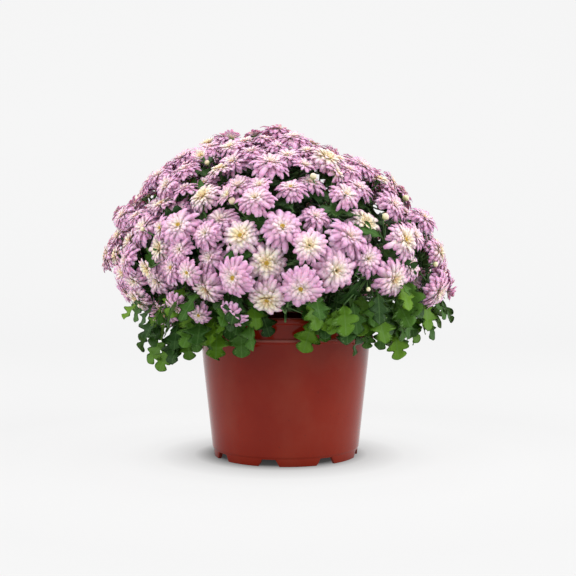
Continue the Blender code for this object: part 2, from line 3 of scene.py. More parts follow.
import bpy
import numpy as np
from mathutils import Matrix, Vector


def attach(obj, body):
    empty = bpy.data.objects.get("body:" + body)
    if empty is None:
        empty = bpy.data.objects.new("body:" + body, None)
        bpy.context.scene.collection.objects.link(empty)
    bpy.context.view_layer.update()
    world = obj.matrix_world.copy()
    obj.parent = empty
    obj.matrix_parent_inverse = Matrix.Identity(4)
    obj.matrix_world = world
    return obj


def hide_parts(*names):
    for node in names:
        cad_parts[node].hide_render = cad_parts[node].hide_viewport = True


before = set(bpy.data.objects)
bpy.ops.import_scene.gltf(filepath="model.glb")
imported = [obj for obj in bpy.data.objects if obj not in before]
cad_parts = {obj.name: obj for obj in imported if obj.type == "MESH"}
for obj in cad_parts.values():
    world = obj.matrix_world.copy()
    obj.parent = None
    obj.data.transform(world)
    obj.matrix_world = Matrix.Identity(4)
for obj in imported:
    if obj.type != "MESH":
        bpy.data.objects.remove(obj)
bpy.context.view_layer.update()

# A pot chrysanthemum: lilac blooms over lobed leaves, in a glossy red nursery pot.
# Metres, +Z up, the photographed front faces -Y. Every new mesh lies where it stands.

goldenAngle = math.pi * (3.0 - math.sqrt(5.0))
potAxisX = 0.0060  # the pot's axis stands this far beside the middle of the whole plant


# Vectors divided by their lengths.
def unit(vectors):
    return vectors / np.linalg.norm(vectors, axis=-1, keepdims=True)


# Points from a radius, an azimuth and a height: x is radius times cosine, y is radius times sine.
def polar(radius, azimuth, height):
    radius, azimuth, height = np.broadcast_arrays(radius, azimuth, height)
    return np.stack([radius * np.cos(azimuth), radius * np.sin(azimuth), height], -1)


# Angles of a full turn in equal steps: step k is k whole turns over the count.
def fullTurn(count):
    return np.arange(count) * 2.0 * math.pi / count


# Two unit vectors square to each axis and to each other: its cross product with z, or with x where
# the axis is nearly upright, and the cross product of the axis with that.
def sideAxes(axis):
    helper = np.where(np.abs(axis[..., 2:]) < 0.9, [0.0, 0.0, 1.0], [1.0, 0.0, 0.0])
    across = unit(np.cross(helper, axis))
    return across, np.cross(axis, across)


# Meshes


# Quads between neighbouring loops of points, and a cap at each end.
def tubeFaces(stations, around):
    row = np.arange(around)
    after = (row + 1) % around
    faces = []
    for k in range(stations - 1):
        low, high = k * around, (k + 1) * around
        faces += list(zip(low + row, low + after, high + after, high + row))
    return faces + [tuple(row[::-1]), tuple((stations - 1) * around + row)]


# Six times the volume inside closed faces, as the sum of the triple products of each face's fan of
# triangles. It is negative where the faces point inwards.
def signedVolume(points, faces):
    total = 0.0
    for face in faces:
        corners = points[list(face)]
        for k in range(1, len(face) - 1):
            total += np.dot(corners[0], np.cross(corners[k], corners[k + 1]))
    return total


# One mesh of many copies: points holds copies x corners x 3, and faces those of one copy. A copy's
# corner numbers are raised by the corners before it. Faces that point inwards are turned.
def repeatMesh(name, points, faces, material, attributes=None):
    points = points + [potAxisX, 0.0, 0.0]
    copies, corners = points.shape[:2]
    if signedVolume(points[0] - points[0].mean(0), faces) < 0.0:
        faces = [face[::-1] for face in faces]
    sizes = np.array([len(face) for face in faces])
    flat = np.concatenate([np.array(face) for face in faces])
    allCorners = (flat[None] + (np.arange(copies) * corners)[:, None]).ravel()
    starts = np.concatenate([[0], np.cumsum(np.tile(sizes, copies))[:-1]])
    mesh = bpy.data.meshes.new(name)
    mesh.vertices.add(copies * corners)
    mesh.vertices.foreach_set("co", points.astype(np.float32).ravel())
    mesh.loops.add(len(allCorners))
    mesh.loops.foreach_set("vertex_index", allCorners.astype(np.int32))
    mesh.polygons.add(len(starts))
    mesh.polygons.foreach_set("loop_start", starts.astype(np.int32))
    mesh.polygons.foreach_set("use_smooth", np.ones(len(starts), bool))
    mesh.update(calc_edges=True)
    for label, values in (attributes or {}).items():
        layer = mesh.attributes.new(label, "FLOAT", "POINT")
        whole = np.broadcast_to(values, (copies, corners))
        layer.data.foreach_set("value", whole.astype(np.float32).ravel())
    obj = bpy.data.objects.new(name, mesh)
    bpy.context.scene.collection.objects.link(obj)
    obj.data.materials.append(material)
    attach(obj, "root")
    return obj


# Materials


# Short names for the shader nodes that the materials below share.
class Nodes:
    def __init__(self, name, roughness, **fixed):
        self.material = bpy.data.materials.new(name)
        self.material.use_nodes = True
        self.tree = self.material.node_tree
        self.shader = self.tree.nodes["Principled BSDF"]
        self.shader.inputs["Roughness"].default_value = roughness
        for label, value in fixed.items():
            self.shader.inputs[label.replace("_", " ")].default_value = value

    def link(self, source, target):
        self.tree.links.new(source, target)

    def attribute(self, label):
        node = self.tree.nodes.new("ShaderNodeAttribute")
        node.attribute_name = label
        return node.outputs["Fac"]

    def place(self):
        return self.tree.nodes.new("ShaderNodeTexCoord").outputs["Object"]

    def noise(self, scale, detail=3.0, stretch=(1.0, 1.0, 1.0)):
        mapping = self.tree.nodes.new("ShaderNodeMapping")
        mapping.inputs["Scale"].default_value = stretch
        node = self.tree.nodes.new("ShaderNodeTexNoise")
        node.inputs["Scale"].default_value = scale
        node.inputs["Detail"].default_value = detail
        self.link(self.place(), mapping.inputs["Vector"])
        self.link(mapping.outputs["Vector"], node.inputs["Vector"])
        return node.outputs["Fac"]

    def ramp(self, source, *stops):
        node = self.tree.nodes.new("ShaderNodeValToRGB")
        elements = node.color_ramp.elements
        while len(elements) < len(stops):
            elements.new(0.5)
        for element, (position, colour) in zip(elements, stops):
            element.position = position
            element.color = (*colour, 1.0)
        self.link(source, node.inputs["Fac"])
        return node.outputs["Color"]

    def mix(self, amount, first, second, blend="MIX"):
        node = self.tree.nodes.new("ShaderNodeMix")
        node.data_type = "RGBA"
        node.blend_type = blend
        for socket, value in ((0, amount), (6, first), (7, second)):
            if isinstance(value, bpy.types.NodeSocket):
                self.link(value, node.inputs[socket])
            elif isinstance(value, tuple):
                node.inputs[socket].default_value = (*value, 1.0)
            else:
                node.inputs[socket].default_value = value
        return node.outputs[2]

    def maths(self, operation, *values):
        node = self.tree.nodes.new("ShaderNodeMath")
        node.operation = operation
        for socket, value in zip(node.inputs, values):
            if isinstance(value, bpy.types.NodeSocket):
                self.link(value, socket)
            else:
                socket.default_value = value
        return node.outputs[0]

    def bump(self, height, strength, distance):
        node = self.tree.nodes.new("ShaderNodeBump")
        node.inputs["Strength"].default_value = strength
        node.inputs["Distance"].default_value = distance
        self.link(height, node.inputs["Height"])
        self.link(node.outputs["Normal"], self.shader.inputs["Normal"])

    def colour(self, source):
        self.link(source, self.shader.inputs["Base Color"])
        return self.material


# Cream at the foot of a petal, then lilac, by the share of the bloom's radius less its creaminess.
# A sine across the petal gives fine long streaks.
def petalMaterial():
    look = dict(creamPull=0.75, deepen=0.30, streaks=14.0, relief=0.08, reliefDepth=0.0002, veins=0.07)
    nodes = Nodes("lilacPetal", 0.6, Subsurface_Weight=0.15, Subsurface_Scale=0.003, Specular_IOR_Level=0.25)
    along, cream, shade = nodes.attribute("along"), nodes.attribute("cream"), nodes.attribute("shade")
    reach = nodes.maths("ADD", along, nodes.maths("MULTIPLY", cream, -look["creamPull"]))
    body = nodes.ramp(
        reach,
        (0.00, (0.90, 0.74, 0.42)),
        (0.16, (0.95, 0.84, 0.66)),
        (0.36, (0.93, 0.72, 0.73)),
        (0.60, (0.86, 0.52, 0.68)),
        (0.84, (0.76, 0.38, 0.59)),
        (1.00, (0.87, 0.56, 0.73)),
    )
    deep = nodes.mix(nodes.maths("MULTIPLY", shade, look["deepen"]), body, (0.80, 0.55, 0.78), "MULTIPLY")
    streak = nodes.maths("SINE", nodes.maths("MULTIPLY", nodes.attribute("across"), look["streaks"]))
    nodes.bump(streak, look["relief"], look["reliefDepth"])
    faint = nodes.maths("MULTIPLY", nodes.maths("ABSOLUTE", streak), look["veins"])
    veined = nodes.mix(faint, deep, (0.6, 0.3, 0.6))
    return nodes.colour(veined)


# Gold by the rings of the eye, darkest in its middle.
def eyeMaterial():
    nodes = Nodes("goldenEye", 0.7)
    colour = nodes.ramp(
        nodes.attribute("along"),
        (0.0, (0.30, 0.16, 0.01)),
        (0.5, (0.48, 0.30, 0.02)),
        (1.0, (0.66, 0.52, 0.14)),
    )
    nodes.bump(nodes.noise(1400.0), 0.6, 0.0005)
    return nodes.colour(colour)


# Green by each leaf's shade value, with a pale midrib and greyer undersides. The shade value is tone at
# random on most leaves, painted shade on the dark leaves deep in the dome, and painted light and shade on the
# named leaves. Side veins lie where a sine of the length, slanted by the distance from the midrib, is near
# nought.
def leafMaterial():
    look = dict(
        ribHalf=0.055, veinSlant=0.22, veins=24.0, veinHalf=0.13, veinShare=0.7, paler=0.22,
        patches=160.0, patchShare=0.15, underShare=0.6, grain=500.0, sunkLines=-0.6,
    )
    nodes = Nodes("leafGreen", 0.52, Specular_IOR_Level=0.22)
    along, across = nodes.attribute("along"), nodes.attribute("across")
    width = nodes.maths("ABSOLUTE", across)
    rib = nodes.maths("LESS_THAN", width, look["ribHalf"])
    slant = nodes.maths("SUBTRACT", along, nodes.maths("MULTIPLY", width, look["veinSlant"]))
    wave = nodes.maths("ABSOLUTE", nodes.maths("SINE", nodes.maths("MULTIPLY", slant, look["veins"])))
    vein = nodes.maths("MULTIPLY", nodes.maths("LESS_THAN", wave, look["veinHalf"]), look["veinShare"])
    lines = nodes.maths("MAXIMUM", rib, vein)
    # The darkest greens paint shade on the leaves deep in the dome; the named leaves take lit and shaded
    # greens from this ramp as painted light and shade.
    greenByToneAndPaintedShade = nodes.ramp(
        nodes.attribute("shade"),
        (0.0, (0.004, 0.018, 0.004)),
        (0.30, (0.017, 0.070, 0.006)),
        (0.60, (0.040, 0.122, 0.006)),
        (1.0, (0.135, 0.285, 0.008)),
    )
    spots = nodes.noise(look["patches"])
    patches = nodes.ramp(spots, (0.3, (0.012, 0.045, 0.005)), (0.7, (0.058, 0.150, 0.010)))
    mottled = nodes.mix(look["patchShare"], greenByToneAndPaintedShade, patches)
    veined = nodes.mix(nodes.maths("MULTIPLY", lines, look["paler"]), mottled, (0.14, 0.27, 0.08))
    underside = nodes.maths("MULTIPLY", nodes.attribute("under"), look["underShare"])
    under = nodes.mix(underside, veined, (0.13, 0.23, 0.07))
    sunken = nodes.maths("MULTIPLY", lines, look["sunkLines"])
    nodes.bump(nodes.maths("ADD", sunken, nodes.noise(look["grain"])), 0.35, 0.0005)
    return nodes.colour(under)


# Green by noise, brown where the wood attribute is high, and rough along z.
def stemMaterial():
    nodes = Nodes("stemGreen", 0.5)
    body = nodes.ramp(nodes.noise(90.0), (0.3, (0.05, 0.13, 0.03)), (0.7, (0.11, 0.22, 0.06)))
    wood = nodes.mix(nodes.attribute("wood"), body, (0.09, 0.06, 0.03))
    nodes.bump(nodes.noise(600.0, stretch=(1.0, 1.0, 0.15)), 0.3, 0.0005)
    return nodes.colour(wood)


# Green at a bud's foot, then cream, then pink at its tip.
def budMaterial():
    nodes = Nodes("creamBud", 0.5)
    body = nodes.ramp(
        nodes.attribute("along"),
        (0.0, (0.10, 0.22, 0.05)),
        (0.35, (0.45, 0.50, 0.20)),
        (0.6, (0.86, 0.78, 0.50)),
        (1.0, (0.85, 0.62, 0.60)),
    )
    return nodes.colour(body)


# Glossy red plastic by noise, clouded by dust, with specks of soil. A painted highlight: a pale line that
# fades with the distance from the ledge's height, and a little paler top of the lip.
def potMaterial():
    look = dict(
        cloud=9.0, dust=24.0, specks=330.0, ripple=22.0, gloss=11.0,
        ledge=0.1488, ledgeFade=500.0, ledgeHighlight=0.75, lipFrom=0.1736, lipHighlight=0.3,
    )
    nodes = Nodes("redPot", 0.16, IOR=1.28)
    cloud = nodes.noise(look["cloud"], 5.0)
    body = nodes.ramp(cloud, (0.35, (0.168, 0.008, 0.0020)), (0.62, (0.205, 0.015, 0.0045)))
    film = nodes.noise(look["dust"], 6.0, (1.0, 1.0, 0.6))
    dust = nodes.ramp(film, (0.48, (0.0, 0.0, 0.0)), (0.80, (0.12, 0.12, 0.12)))
    dustAndHighlight = nodes.mix(dust, body, (0.27, 0.11, 0.070))
    height = nodes.tree.nodes.new("ShaderNodeSeparateXYZ")
    nodes.link(nodes.place(), height.inputs[0])
    # Painted highlight along the ledge, fading with the distance from its height, and on the lip's top.
    fromLedge = nodes.maths("ABSOLUTE", nodes.maths("SUBTRACT", height.outputs["Z"], look["ledge"]))
    faded = nodes.maths("SUBTRACT", 1.0, nodes.maths("MULTIPLY", fromLedge, look["ledgeFade"]))
    ledge = nodes.maths("MULTIPLY", faded, look["ledgeHighlight"])
    onLip = nodes.maths("GREATER_THAN", height.outputs["Z"], look["lipFrom"])
    edge = nodes.maths("MULTIPLY", onLip, look["lipHighlight"])
    paintedHighlight = nodes.maths("MAXIMUM", nodes.maths("MAXIMUM", ledge, edge), 0.0)
    # The painted highlight's colour, laid over the dust.
    dustAndHighlight = nodes.mix(paintedHighlight, dustAndHighlight, (0.52, 0.20, 0.17))
    specks = nodes.ramp(nodes.noise(look["specks"], 1.0), (0.76, (0.0, 0.0, 0.0)), (0.80, (0.7, 0.7, 0.7)))
    dotted = nodes.mix(specks, dustAndHighlight, (0.07, 0.008, 0.005))
    nodes.bump(nodes.noise(look["ripple"], 1.0), 0.10, 0.002)
    rough = nodes.ramp(nodes.noise(look["gloss"], 4.0), (0.35, (0.06, 0.06, 0.06)), (0.7, (0.17, 0.17, 0.17)))
    nodes.link(rough, nodes.shader.inputs["Roughness"])
    return nodes.colour(dotted)


# Dark peat by fine noise, with paler crumbs.
def soilMaterial():
    nodes = Nodes("darkPeat", 0.95)
    body = nodes.ramp(
        nodes.noise(260.0, 6.0),
        (0.35, (0.012, 0.008, 0.006)),
        (0.62, (0.06, 0.04, 0.027)),
        (0.8, (0.14, 0.10, 0.07)),
    )
    nodes.bump(nodes.noise(420.0, 6.0), 0.9, 0.003)
    return nodes.colour(body)


# The dome, with the same rules and the same seed as the solids

crown = dict(
    radius=0.2170, waist=0.240, rise=0.171, tuck=0.100, risePower=1.7, spreadPower=1.6,
    lean=-0.024, leanFrom=0.210, leanSpan=0.200, underLimit=1.2, underPower=0.6, step=1e-3, stations=900,
)
flowers = dict(
    seed=20, sites=170, siteTuck=0.66, depth=0.0045, tiers=3, tierStep=0.0085, low=0.178,
    radius=(0.0182, 0.0238), angleShift=0.014, turnShift=0.0030, depthShift=0.001, tilt=0.12, leastReach=0.02,
    bareAzimuth=math.radians(-62.0), bareSpread=math.radians(24.0), bareLift=0.030, sideLift=0.018,
    hubs=40, hubTuck=0.56, hubDepth=0.040, hubTurn=0.6, fullness=0.92,
)


# Radius and height of the dome by angle from its top: a superellipse down to its waist. Below that
# the radius shrinks with a power of the cosine, and the height falls with the sine.
def crownProfile(angle):
    angle = np.asarray(angle, float)
    upper = np.clip(angle, 0.0, math.pi / 2.0)
    under = np.clip(angle - math.pi / 2.0, 0.0, crown["underLimit"])
    radius = crown["radius"] * np.sin(upper) ** (2.0 / crown["spreadPower"])
    height = crown["waist"] + crown["rise"] * np.cos(upper) ** (2.0 / crown["risePower"])
    return radius * np.cos(under) ** crown["underPower"], height - crown["tuck"] * np.sin(under)


# Points at a depth below the dome, and the dome's outward normals there. A normal is the slope
# between two close angles, turned by a quarter. The crown leans with the square root of the height
# above the place where its lean starts.
def crownPoint(angle, azimuth, depth):
    radius, height = crownProfile(angle)
    radiusOn, heightOn = crownProfile(angle + crown["step"])
    slope = unit(np.stack([radiusOn - radius, heightOn - height], -1))
    out, up = -slope[..., 1], slope[..., 0]
    radius, height = radius - depth * out, height - depth * up
    swing = np.clip((height - crown["leanFrom"]) / crown["leanSpan"], 0.0, 1.0)
    point = polar(radius, azimuth, height)
    point[..., 0] += crown["lean"] * np.sqrt(swing)
    return point, polar(out, azimuth, up)


# A golden spiral: above site k lie k and a half equal shares of the dome's area, and each site
# turns by the golden angle from the one before.
def evenSites(count, lastAngle):
    angles = np.linspace(0.0, lastAngle, crown["stations"])
    radius, height = crownProfile(angles)
    lengths = np.hypot(np.diff(radius), np.diff(height))
    area = np.concatenate([[0.0], np.cumsum(lengths * (radius[1:] + radius[:-1]))])
    share = (np.arange(count) + 0.5) / count * area[-1]
    return np.interp(share, area, angles), np.arange(count) * goldenAngle


# The height that the blooms reach down to, lifted by a bell curve round the bare patch and by a
# squared cosine at the plant's two sides.
def lowEdge(azimuth):
    away = np.angle(np.exp(1j * (azimuth - flowers["bareAzimuth"])))
    lift = flowers["bareLift"] * np.exp(-((away / flowers["bareSpread"]) ** 2))
    return flowers["low"] + lift + flowers["sideLift"] * np.cos(azimuth) ** 2


# A tier for each bloom: the tier whose nearest member so far is furthest away.
def spreadTiers(places):
    tier = np.zeros(len(places), int)
    for index in range(1, len(places)):
        apart = np.linalg.norm(places[:index] - places[index], axis=1)
        nearest = [apart[tier[:index] == level].min(initial=1.0) for level in range(flowers["tiers"])]
        tier[index] = int(np.argmax(nearest))
    return tier


# Centres, facings and radii of the blooms that the solids hold: even sites with small seeded
# shifts, sunk by their tiers, and kept where they are above the low edge.
def mainBlooms():
    draw = np.random.default_rng(flowers["seed"])
    count = flowers["sites"]
    angle, azimuth = evenSites(count, math.pi / 2.0 + flowers["siteTuck"])
    radius = crownProfile(angle)[0]
    angle = angle + draw.normal(0.0, flowers["angleShift"], count)
    shift = draw.normal(0.0, flowers["turnShift"], count)
    azimuth = azimuth + shift / np.maximum(radius, flowers["leastReach"])
    tier = spreadTiers(crownPoint(np.abs(angle), azimuth, 0.0)[0])
    shift = flowers["depthShift"]
    depth = flowers["depth"] + flowers["tierStep"] * tier + draw.uniform(-shift, shift, count)
    centre, normal = crownPoint(np.abs(angle), azimuth, depth)
    facing = normal + draw.normal(0.0, flowers["tilt"], (count, 3))
    size = draw.uniform(*flowers["radius"], count)
    kept = centre[:, 2] > lowEdge(azimuth)
    return centre[kept], unit(facing[kept]), size[kept] * flowers["fullness"]


filler = dict(
    seed=7, candidates=2600, spacing=0.0240, depth=(0.001, 0.012), radius=(0.0112, 0.0166), low=0.172,
    tuck=0.72, surface=0.008, tilt=0.22, bareMore=0.5, edgeSlack=0.004,
    looser=0.0078, looserBelow=0.335, looserSpan=0.20, looserMiddle=0.6,
)


# Smaller blooms in the widest gaps: candidates in random order, each kept if it is far enough from
# all before it. Below a height they need more room, the more so to the right.
def fillerBlooms(taken):
    draw = np.random.default_rng(filler["seed"])
    count = filler["candidates"]
    angle, azimuth = evenSites(count, math.pi / 2.0 + filler["tuck"])
    order = draw.permutation(count)
    angle, azimuth = angle[order], azimuth[order]
    depth = draw.uniform(*filler["depth"], count)
    centre, normal = crownPoint(angle, azimuth, depth)
    surface = crownPoint(angle, azimuth, filler["surface"])[0]
    places = list(taken)
    chosen = []
    sides = flowers["low"] + flowers["sideLift"] * np.cos(azimuth) ** 2
    edge = lowEdge(azimuth) + filler["bareMore"] * (lowEdge(azimuth) - sides) - filler["edgeSlack"]
    right = np.clip(filler["looserMiddle"] + surface[:, 0] / filler["looserSpan"], 0.0, 1.0)
    room = filler["spacing"] + filler["looser"] * right * (surface[:, 2] < filler["looserBelow"])
    for index in range(count):
        if surface[index, 2] < max(filler["low"], edge[index]):
            continue
        apart = np.linalg.norm(np.array(places) - surface[index], axis=1)
        if apart.min() > room[index]:
            places.append(surface[index])
            chosen.append(index)
    facing = unit(normal[chosen] + draw.normal(0.0, filler["tilt"], (len(chosen), 3)))
    return centre[chosen], facing, draw.uniform(*filler["radius"], len(chosen))


# Older blooms that hang at the sides: centre, facing, radius and how far they are shut.
droopers = (
    ((-0.196, -0.030, 0.207), (-0.75, -0.30, -0.55), 0.0165, 0.35),
    ((-0.164, -0.085, 0.198), (-0.45, -0.60, -0.60), 0.0150, 0.45),
    ((-0.139, -0.100, 0.183), (-0.10, -0.70, -0.75), 0.0160, 0.50),
    ((0.155, -0.062, 0.222), (0.10, -0.80, -0.60), 0.0150, 0.50),
    ((0.184, -0.020, 0.234), (0.70, -0.30, -0.60), 0.0135, 0.60),
    ((0.205, 0.000, 0.205), (0.80, -0.10, -0.50), 0.0125, 0.60),
    ((-0.056, -0.130, 0.177), (0.10, -0.90, -0.40), 0.0085, 0.60),
)
fullFrom = 0.0160  # blooms of at least this radius have all six rings


# The places under the blooms where the stalks of each spray meet: even sites of their own, deeper
# in the dome.
def sprayHubs():
    angle, azimuth = evenSites(flowers["hubs"], math.pi / 2.0 + flowers["hubTuck"])
    return crownPoint(angle, azimuth + flowers["hubTurn"], flowers["hubDepth"])[0]


# Petals

# Each ring of a bloom: petals, length, half width, first and last slope in degrees, and start.
fullRings = (
    (19, 1.06, 0.157, 18.0, -56.0, 0.12),
    (19, 0.96, 0.154, 34.0, -50.0, 0.11),
    (16, 0.84, 0.147, 50.0, -38.0, 0.10),
    (13, 0.70, 0.136, 64.0, -20.0, 0.09),
    (10, 0.54, 0.124, 76.0, 6.0, 0.07),
    (7, 0.38, 0.096, 84.0, 38.0, 0.05),
)
smallRings = (
    (14, 1.02, 0.180, 22.0, -48.0, 0.12),
    (13, 0.87, 0.170, 40.0, -34.0, 0.11),
    (10, 0.69, 0.162, 58.0, -14.0, 0.09),
    (7, 0.48, 0.130, 78.0, 16.0, 0.06),
)
petalTable = dict(
    stations=(0.0, 0.42, 0.80, 1.0), widths=(0.56, 0.94, 1.00, 0.50), cup=0.07,
    thick=0.00022, widthSpread=0.08,
    lengthSpread=0.11, turnSpread=0.11, slopeSpread=5.5, sunk=0.10, shutFirst=86.0, shutLast=62.0,
)
petalFaces = tubeFaces(len(petalTable["stations"]), 4)


# Petals as closed blades. A petal's middle line leaves the bloom's axis and bends: its slope goes
# evenly from the ring's first slope to its last, and the more a bloom is shut, the steeper both
# are. Each section has two edges, raised by the cup, a top and an underside.
def petalField(rings, centre, facing, radius, cream, shut, seed):
    draw = np.random.default_rng(seed)
    table = petalTable
    across, along = sideAxes(facing)
    t, shape = np.array(table["stations"]), np.array(table["widths"])
    blooms = len(radius)
    points, marks = [], []
    for count, length, halfWidth, firstSlope, lastSlope, start in rings:
        turn = fullTurn(count) + draw.uniform(0.0, 2.0 * math.pi, (blooms, 1))
        turn = turn + draw.normal(0.0, table["turnSpread"], (blooms, count))
        radial = np.cos(turn)[..., None] * across[:, None] + np.sin(turn)[..., None] * along[:, None]
        side = np.cross(facing[:, None], radial)
        reach = length * (1.0 + draw.normal(0.0, table["lengthSpread"], (blooms, count))) * radius[:, None]
        closed = shut[:, None]
        first = firstSlope + (table["shutFirst"] - firstSlope) * closed
        last = lastSlope + (table["shutLast"] - lastSlope) * closed
        tilt = draw.normal(0.0, table["slopeSpread"], (blooms, count))
        slopes = np.radians((first + tilt)[..., None] + (last - first)[..., None] * t)
        middle = (slopes[..., 1:] + slopes[..., :-1]) / 2.0
        steps = np.diff(t) * reach[..., None]
        none = np.zeros((blooms, count, 1))
        size, axis, spoke = radius[:, None, None], facing[:, None, None], radial[:, :, None]
        out = np.concatenate([none, np.cumsum(np.cos(middle) * steps, -1)], -1) + start * size
        lift = np.concatenate([none, np.cumsum(np.sin(middle) * steps, -1)], -1) - table["sunk"] * size
        line = centre[:, None, None] + out[..., None] * spoke + lift[..., None] * axis
        up = np.cos(slopes)[..., None] * axis - np.sin(slopes)[..., None] * spoke
        spread = 1.0 + draw.normal(0.0, table["widthSpread"], (blooms, count, 1))
        half = halfWidth * size * shape * spread
        edge = half[..., None] * side[:, :, None]
        raised, skin = table["cup"] * half[..., None] * up, table["thick"] * up
        loop = np.stack([line - edge + raised, line + skin, line + edge + raised, line - skin], -2)
        corners = len(t) * 4
        points.append(loop.reshape(blooms * count, corners, 3))
        share = np.repeat(t * length + start, 4)[None] * np.ones((blooms * count, 1))
        shade = draw.uniform(0.0, 1.0, blooms * count)[:, None] * np.ones((1, corners))
        marks.append((share, np.repeat(cream, count)[:, None] * np.ones((1, corners)), shade))
    whole, creams, shades = (np.concatenate([mark[k] for mark in marks]) for k in range(3))
    crosswise = np.tile([-1.0, 0.0, 1.0, 0.0], len(t))
    return np.concatenate(points), dict(along=whole, cream=creams, shade=shades, across=crosswise)


# Turned forms: the profile's radii and heights are shares of the size, and a cosine of the turn
# waves the radius into ridges.
def turnedField(centre, axis, size, profile, around, ridges=0, ridge=0.0):
    across, along = sideAxes(axis)
    profile = np.array(profile)
    turn = fullTurn(around)
    wave = 1.0 + ridge * np.cos(ridges * turn)
    ringPoints = np.cos(turn)[:, None, None] * across + np.sin(turn)[:, None, None] * along
    radii = profile[:, 0, None] * wave
    points = (
        centre[None, None]
        + size[None, None, :, None] * radii[..., None, None] * ringPoints[None]
        + size[None, None, :, None] * profile[:, 1, None, None, None] * axis[None, None]
    )
    return points.transpose(2, 0, 1, 3).reshape(len(size), len(profile) * around, 3)


# Stems along the quadratic curve from start to end whose control point is the knee, in rings square
# to the curve, thinning evenly.
def tubeField(start, knee, end, radiusLow, radiusHigh, around=6, stations=7):
    t = np.linspace(0.0, 1.0, stations)[None, :, None]
    start, knee, end = start[:, None], knee[:, None], end[:, None]
    line = (1 - t) ** 2 * start + 2 * t * (1 - t) * knee + t**2 * end
    tangent = unit(2 * (1 - t) * (knee - start) + 2 * t * (end - knee) + 1e-9)
    across, along = sideAxes(tangent)
    radiusLow, radiusHigh = np.broadcast_to(radiusLow, len(start)), np.broadcast_to(radiusHigh, len(start))
    radius = radiusLow[:, None] + (radiusHigh - radiusLow)[:, None] * t[..., 0]
    turn = fullTurn(around)
    loops = (
        line[:, :, None]
        + radius[..., None, None] * np.cos(turn)[:, None] * across[:, :, None]
        + radius[..., None, None] * np.sin(turn)[:, None] * along[:, :, None]
    )
    return loops.reshape(len(start), stations * around, 3)


# Leaves

leafOutline = (
    (0.00, 0.012), (0.13, 0.014), (0.19, 0.040), (0.24, 0.125), (0.30, 0.185), (0.36, 0.195),
    (0.41, 0.145), (0.44, 0.120), (0.48, 0.190), (0.53, 0.290), (0.59, 0.345), (0.65, 0.335),
    (0.69, 0.270), (0.72, 0.155), (0.75, 0.145), (0.79, 0.195), (0.85, 0.225), (0.91, 0.200),
    (0.96, 0.130), (0.99, 0.060), (1.00, 0.010),
)
leafTable = dict(
    across=3, sweep=0.45, sweepPower=1.3, fold=0.24, quilt=0.014, veins=24.0, veinSlant=0.22, thick=0.00045,
    wave=0.045, waves=6.3, waveShift=3.0, curl=0.5, widest=0.3,
)


# Lobed blades, closed. A point lies at its share of the length, swept forward by its distance from
# the midrib, and to one side by the outline's half width there. The blade sags with the square of
# its length, folds up at the sides, is quilted between its veins and waves along its edge.
def leafField(base, heading, facing, length, arch, twist, shade):
    table = leafTable
    outline = np.array(leafOutline)
    u, half = outline[:, 0][:, None], outline[:, 1][:, None]
    v = np.linspace(-1.0, 1.0, table["across"] * 2 - 1)
    loopV = np.concatenate([v, v[-2:0:-1]])[None]
    under = np.concatenate([np.zeros(len(v)), np.ones(len(v) - 2)])[None]
    edge = np.abs(loopV)
    inner = 1.0 - edge**3
    x = u + table["sweep"] * half * edge ** table["sweepPower"] * (1.0 - u)
    y = half * loopV
    pillows = np.sin(table["veins"] * (u - table["veinSlant"] * edge)) ** 2
    lift = table["fold"] * np.abs(y) + table["quilt"] * inner * pillows
    skin = table["thick"] * (0.5 - under) * inner
    heading = unit(heading)
    side = unit(np.cross(facing, heading))
    out = np.cross(heading, side)
    wide = (slice(None), None, None)  # a value for each leaf, over all its points
    wave = table["wave"] * np.sin(table["waves"] * math.pi * u + table["waveShift"] * twist[wide]) * edge**2
    bend = arch[wide] * x**2
    z = lift + wave - bend - table["curl"] * twist[wide] * y * u
    points = (
        base[:, None, None]
        + (length[wide] * x)[..., None] * heading[:, None, None]
        + (length[wide] * y)[..., None] * side[:, None, None]
        + (length[wide] * z + skin)[..., None] * out[:, None, None]
    )
    copies, corners = len(length), len(outline) * loopV.shape[1]
    grid = np.ones((len(outline), loopV.shape[1]))
    marks = dict(
        along=(u * grid).reshape(1, -1),
        across=(half * loopV / table["widest"]).reshape(1, -1),
        under=(under * grid).reshape(1, -1),
        shade=shade[:, None],
    )
    return points.reshape(copies, corners, 3), marks


leafFaces = tubeFaces(len(leafOutline), leafTable["across"] * 4 - 4)

foliage = dict(
    sectors=10, turn=math.radians(-90.0), seed=120, length=(0.038, 0.052), facingSpread=0.30, middle=0.6,
    sag=0.008, sagTurn=0.6, yawSpread=0.10, pitchSpread=0.16, arch=(0.05, 0.22), shade=(0.1, 0.8),
    coreRadius=0.060, twistSeed=11, twistSpread=0.5,
)
# Leaves that hang all round from just under the blooms.
skirt = dict(
    count=245, radius=(0.118, 0.188), height=0.206, fall=0.22, riseFrom=0.150, rise=0.70,
    heightSpread=(-0.020, 0.010), dip=-0.55, dipSpread=0.5, dipMore=2.5, dipFrom=0.198, turnSpread=0.45,
    length=(0.030, 0.046), arch=(0.05, 0.4), shade=(0.1, 1.0),
)
# Leaves below the blooms, each layer by its count, last angle, depth, length and shade. Their low shades make
# them dark green as painted shade, the deeper layer near black.
layers = (
    (170, 0.60, (0.016, 0.030), (0.034, 0.050), (0.05, 0.45)),
    (125, 0.42, (0.045, 0.070), (0.056, 0.074), (0.0, 0.15)),
)
layered = dict(turn=1.1, facingSpread=0.28, arch=(0.05, 0.25), footAbove=0.185, middleAbove=0.19)
lowTwig = ((0.0530, 0.1865), (0.112, 0.196), (0.140, 0.172))
highTwig = ((0.0560, 0.1945), (0.126, 0.208), (0.170, 0.183))
lowLeaves = ((1.30, -0.42, -0.95), (1.65, 0.46, -1.15), (1.96, -0.08, -1.35))
highLeaves = ((1.10, 0.62, -0.35), (1.40, -0.60, -0.50), (1.70, 0.50, -0.80), (1.96, -0.10, -1.05))
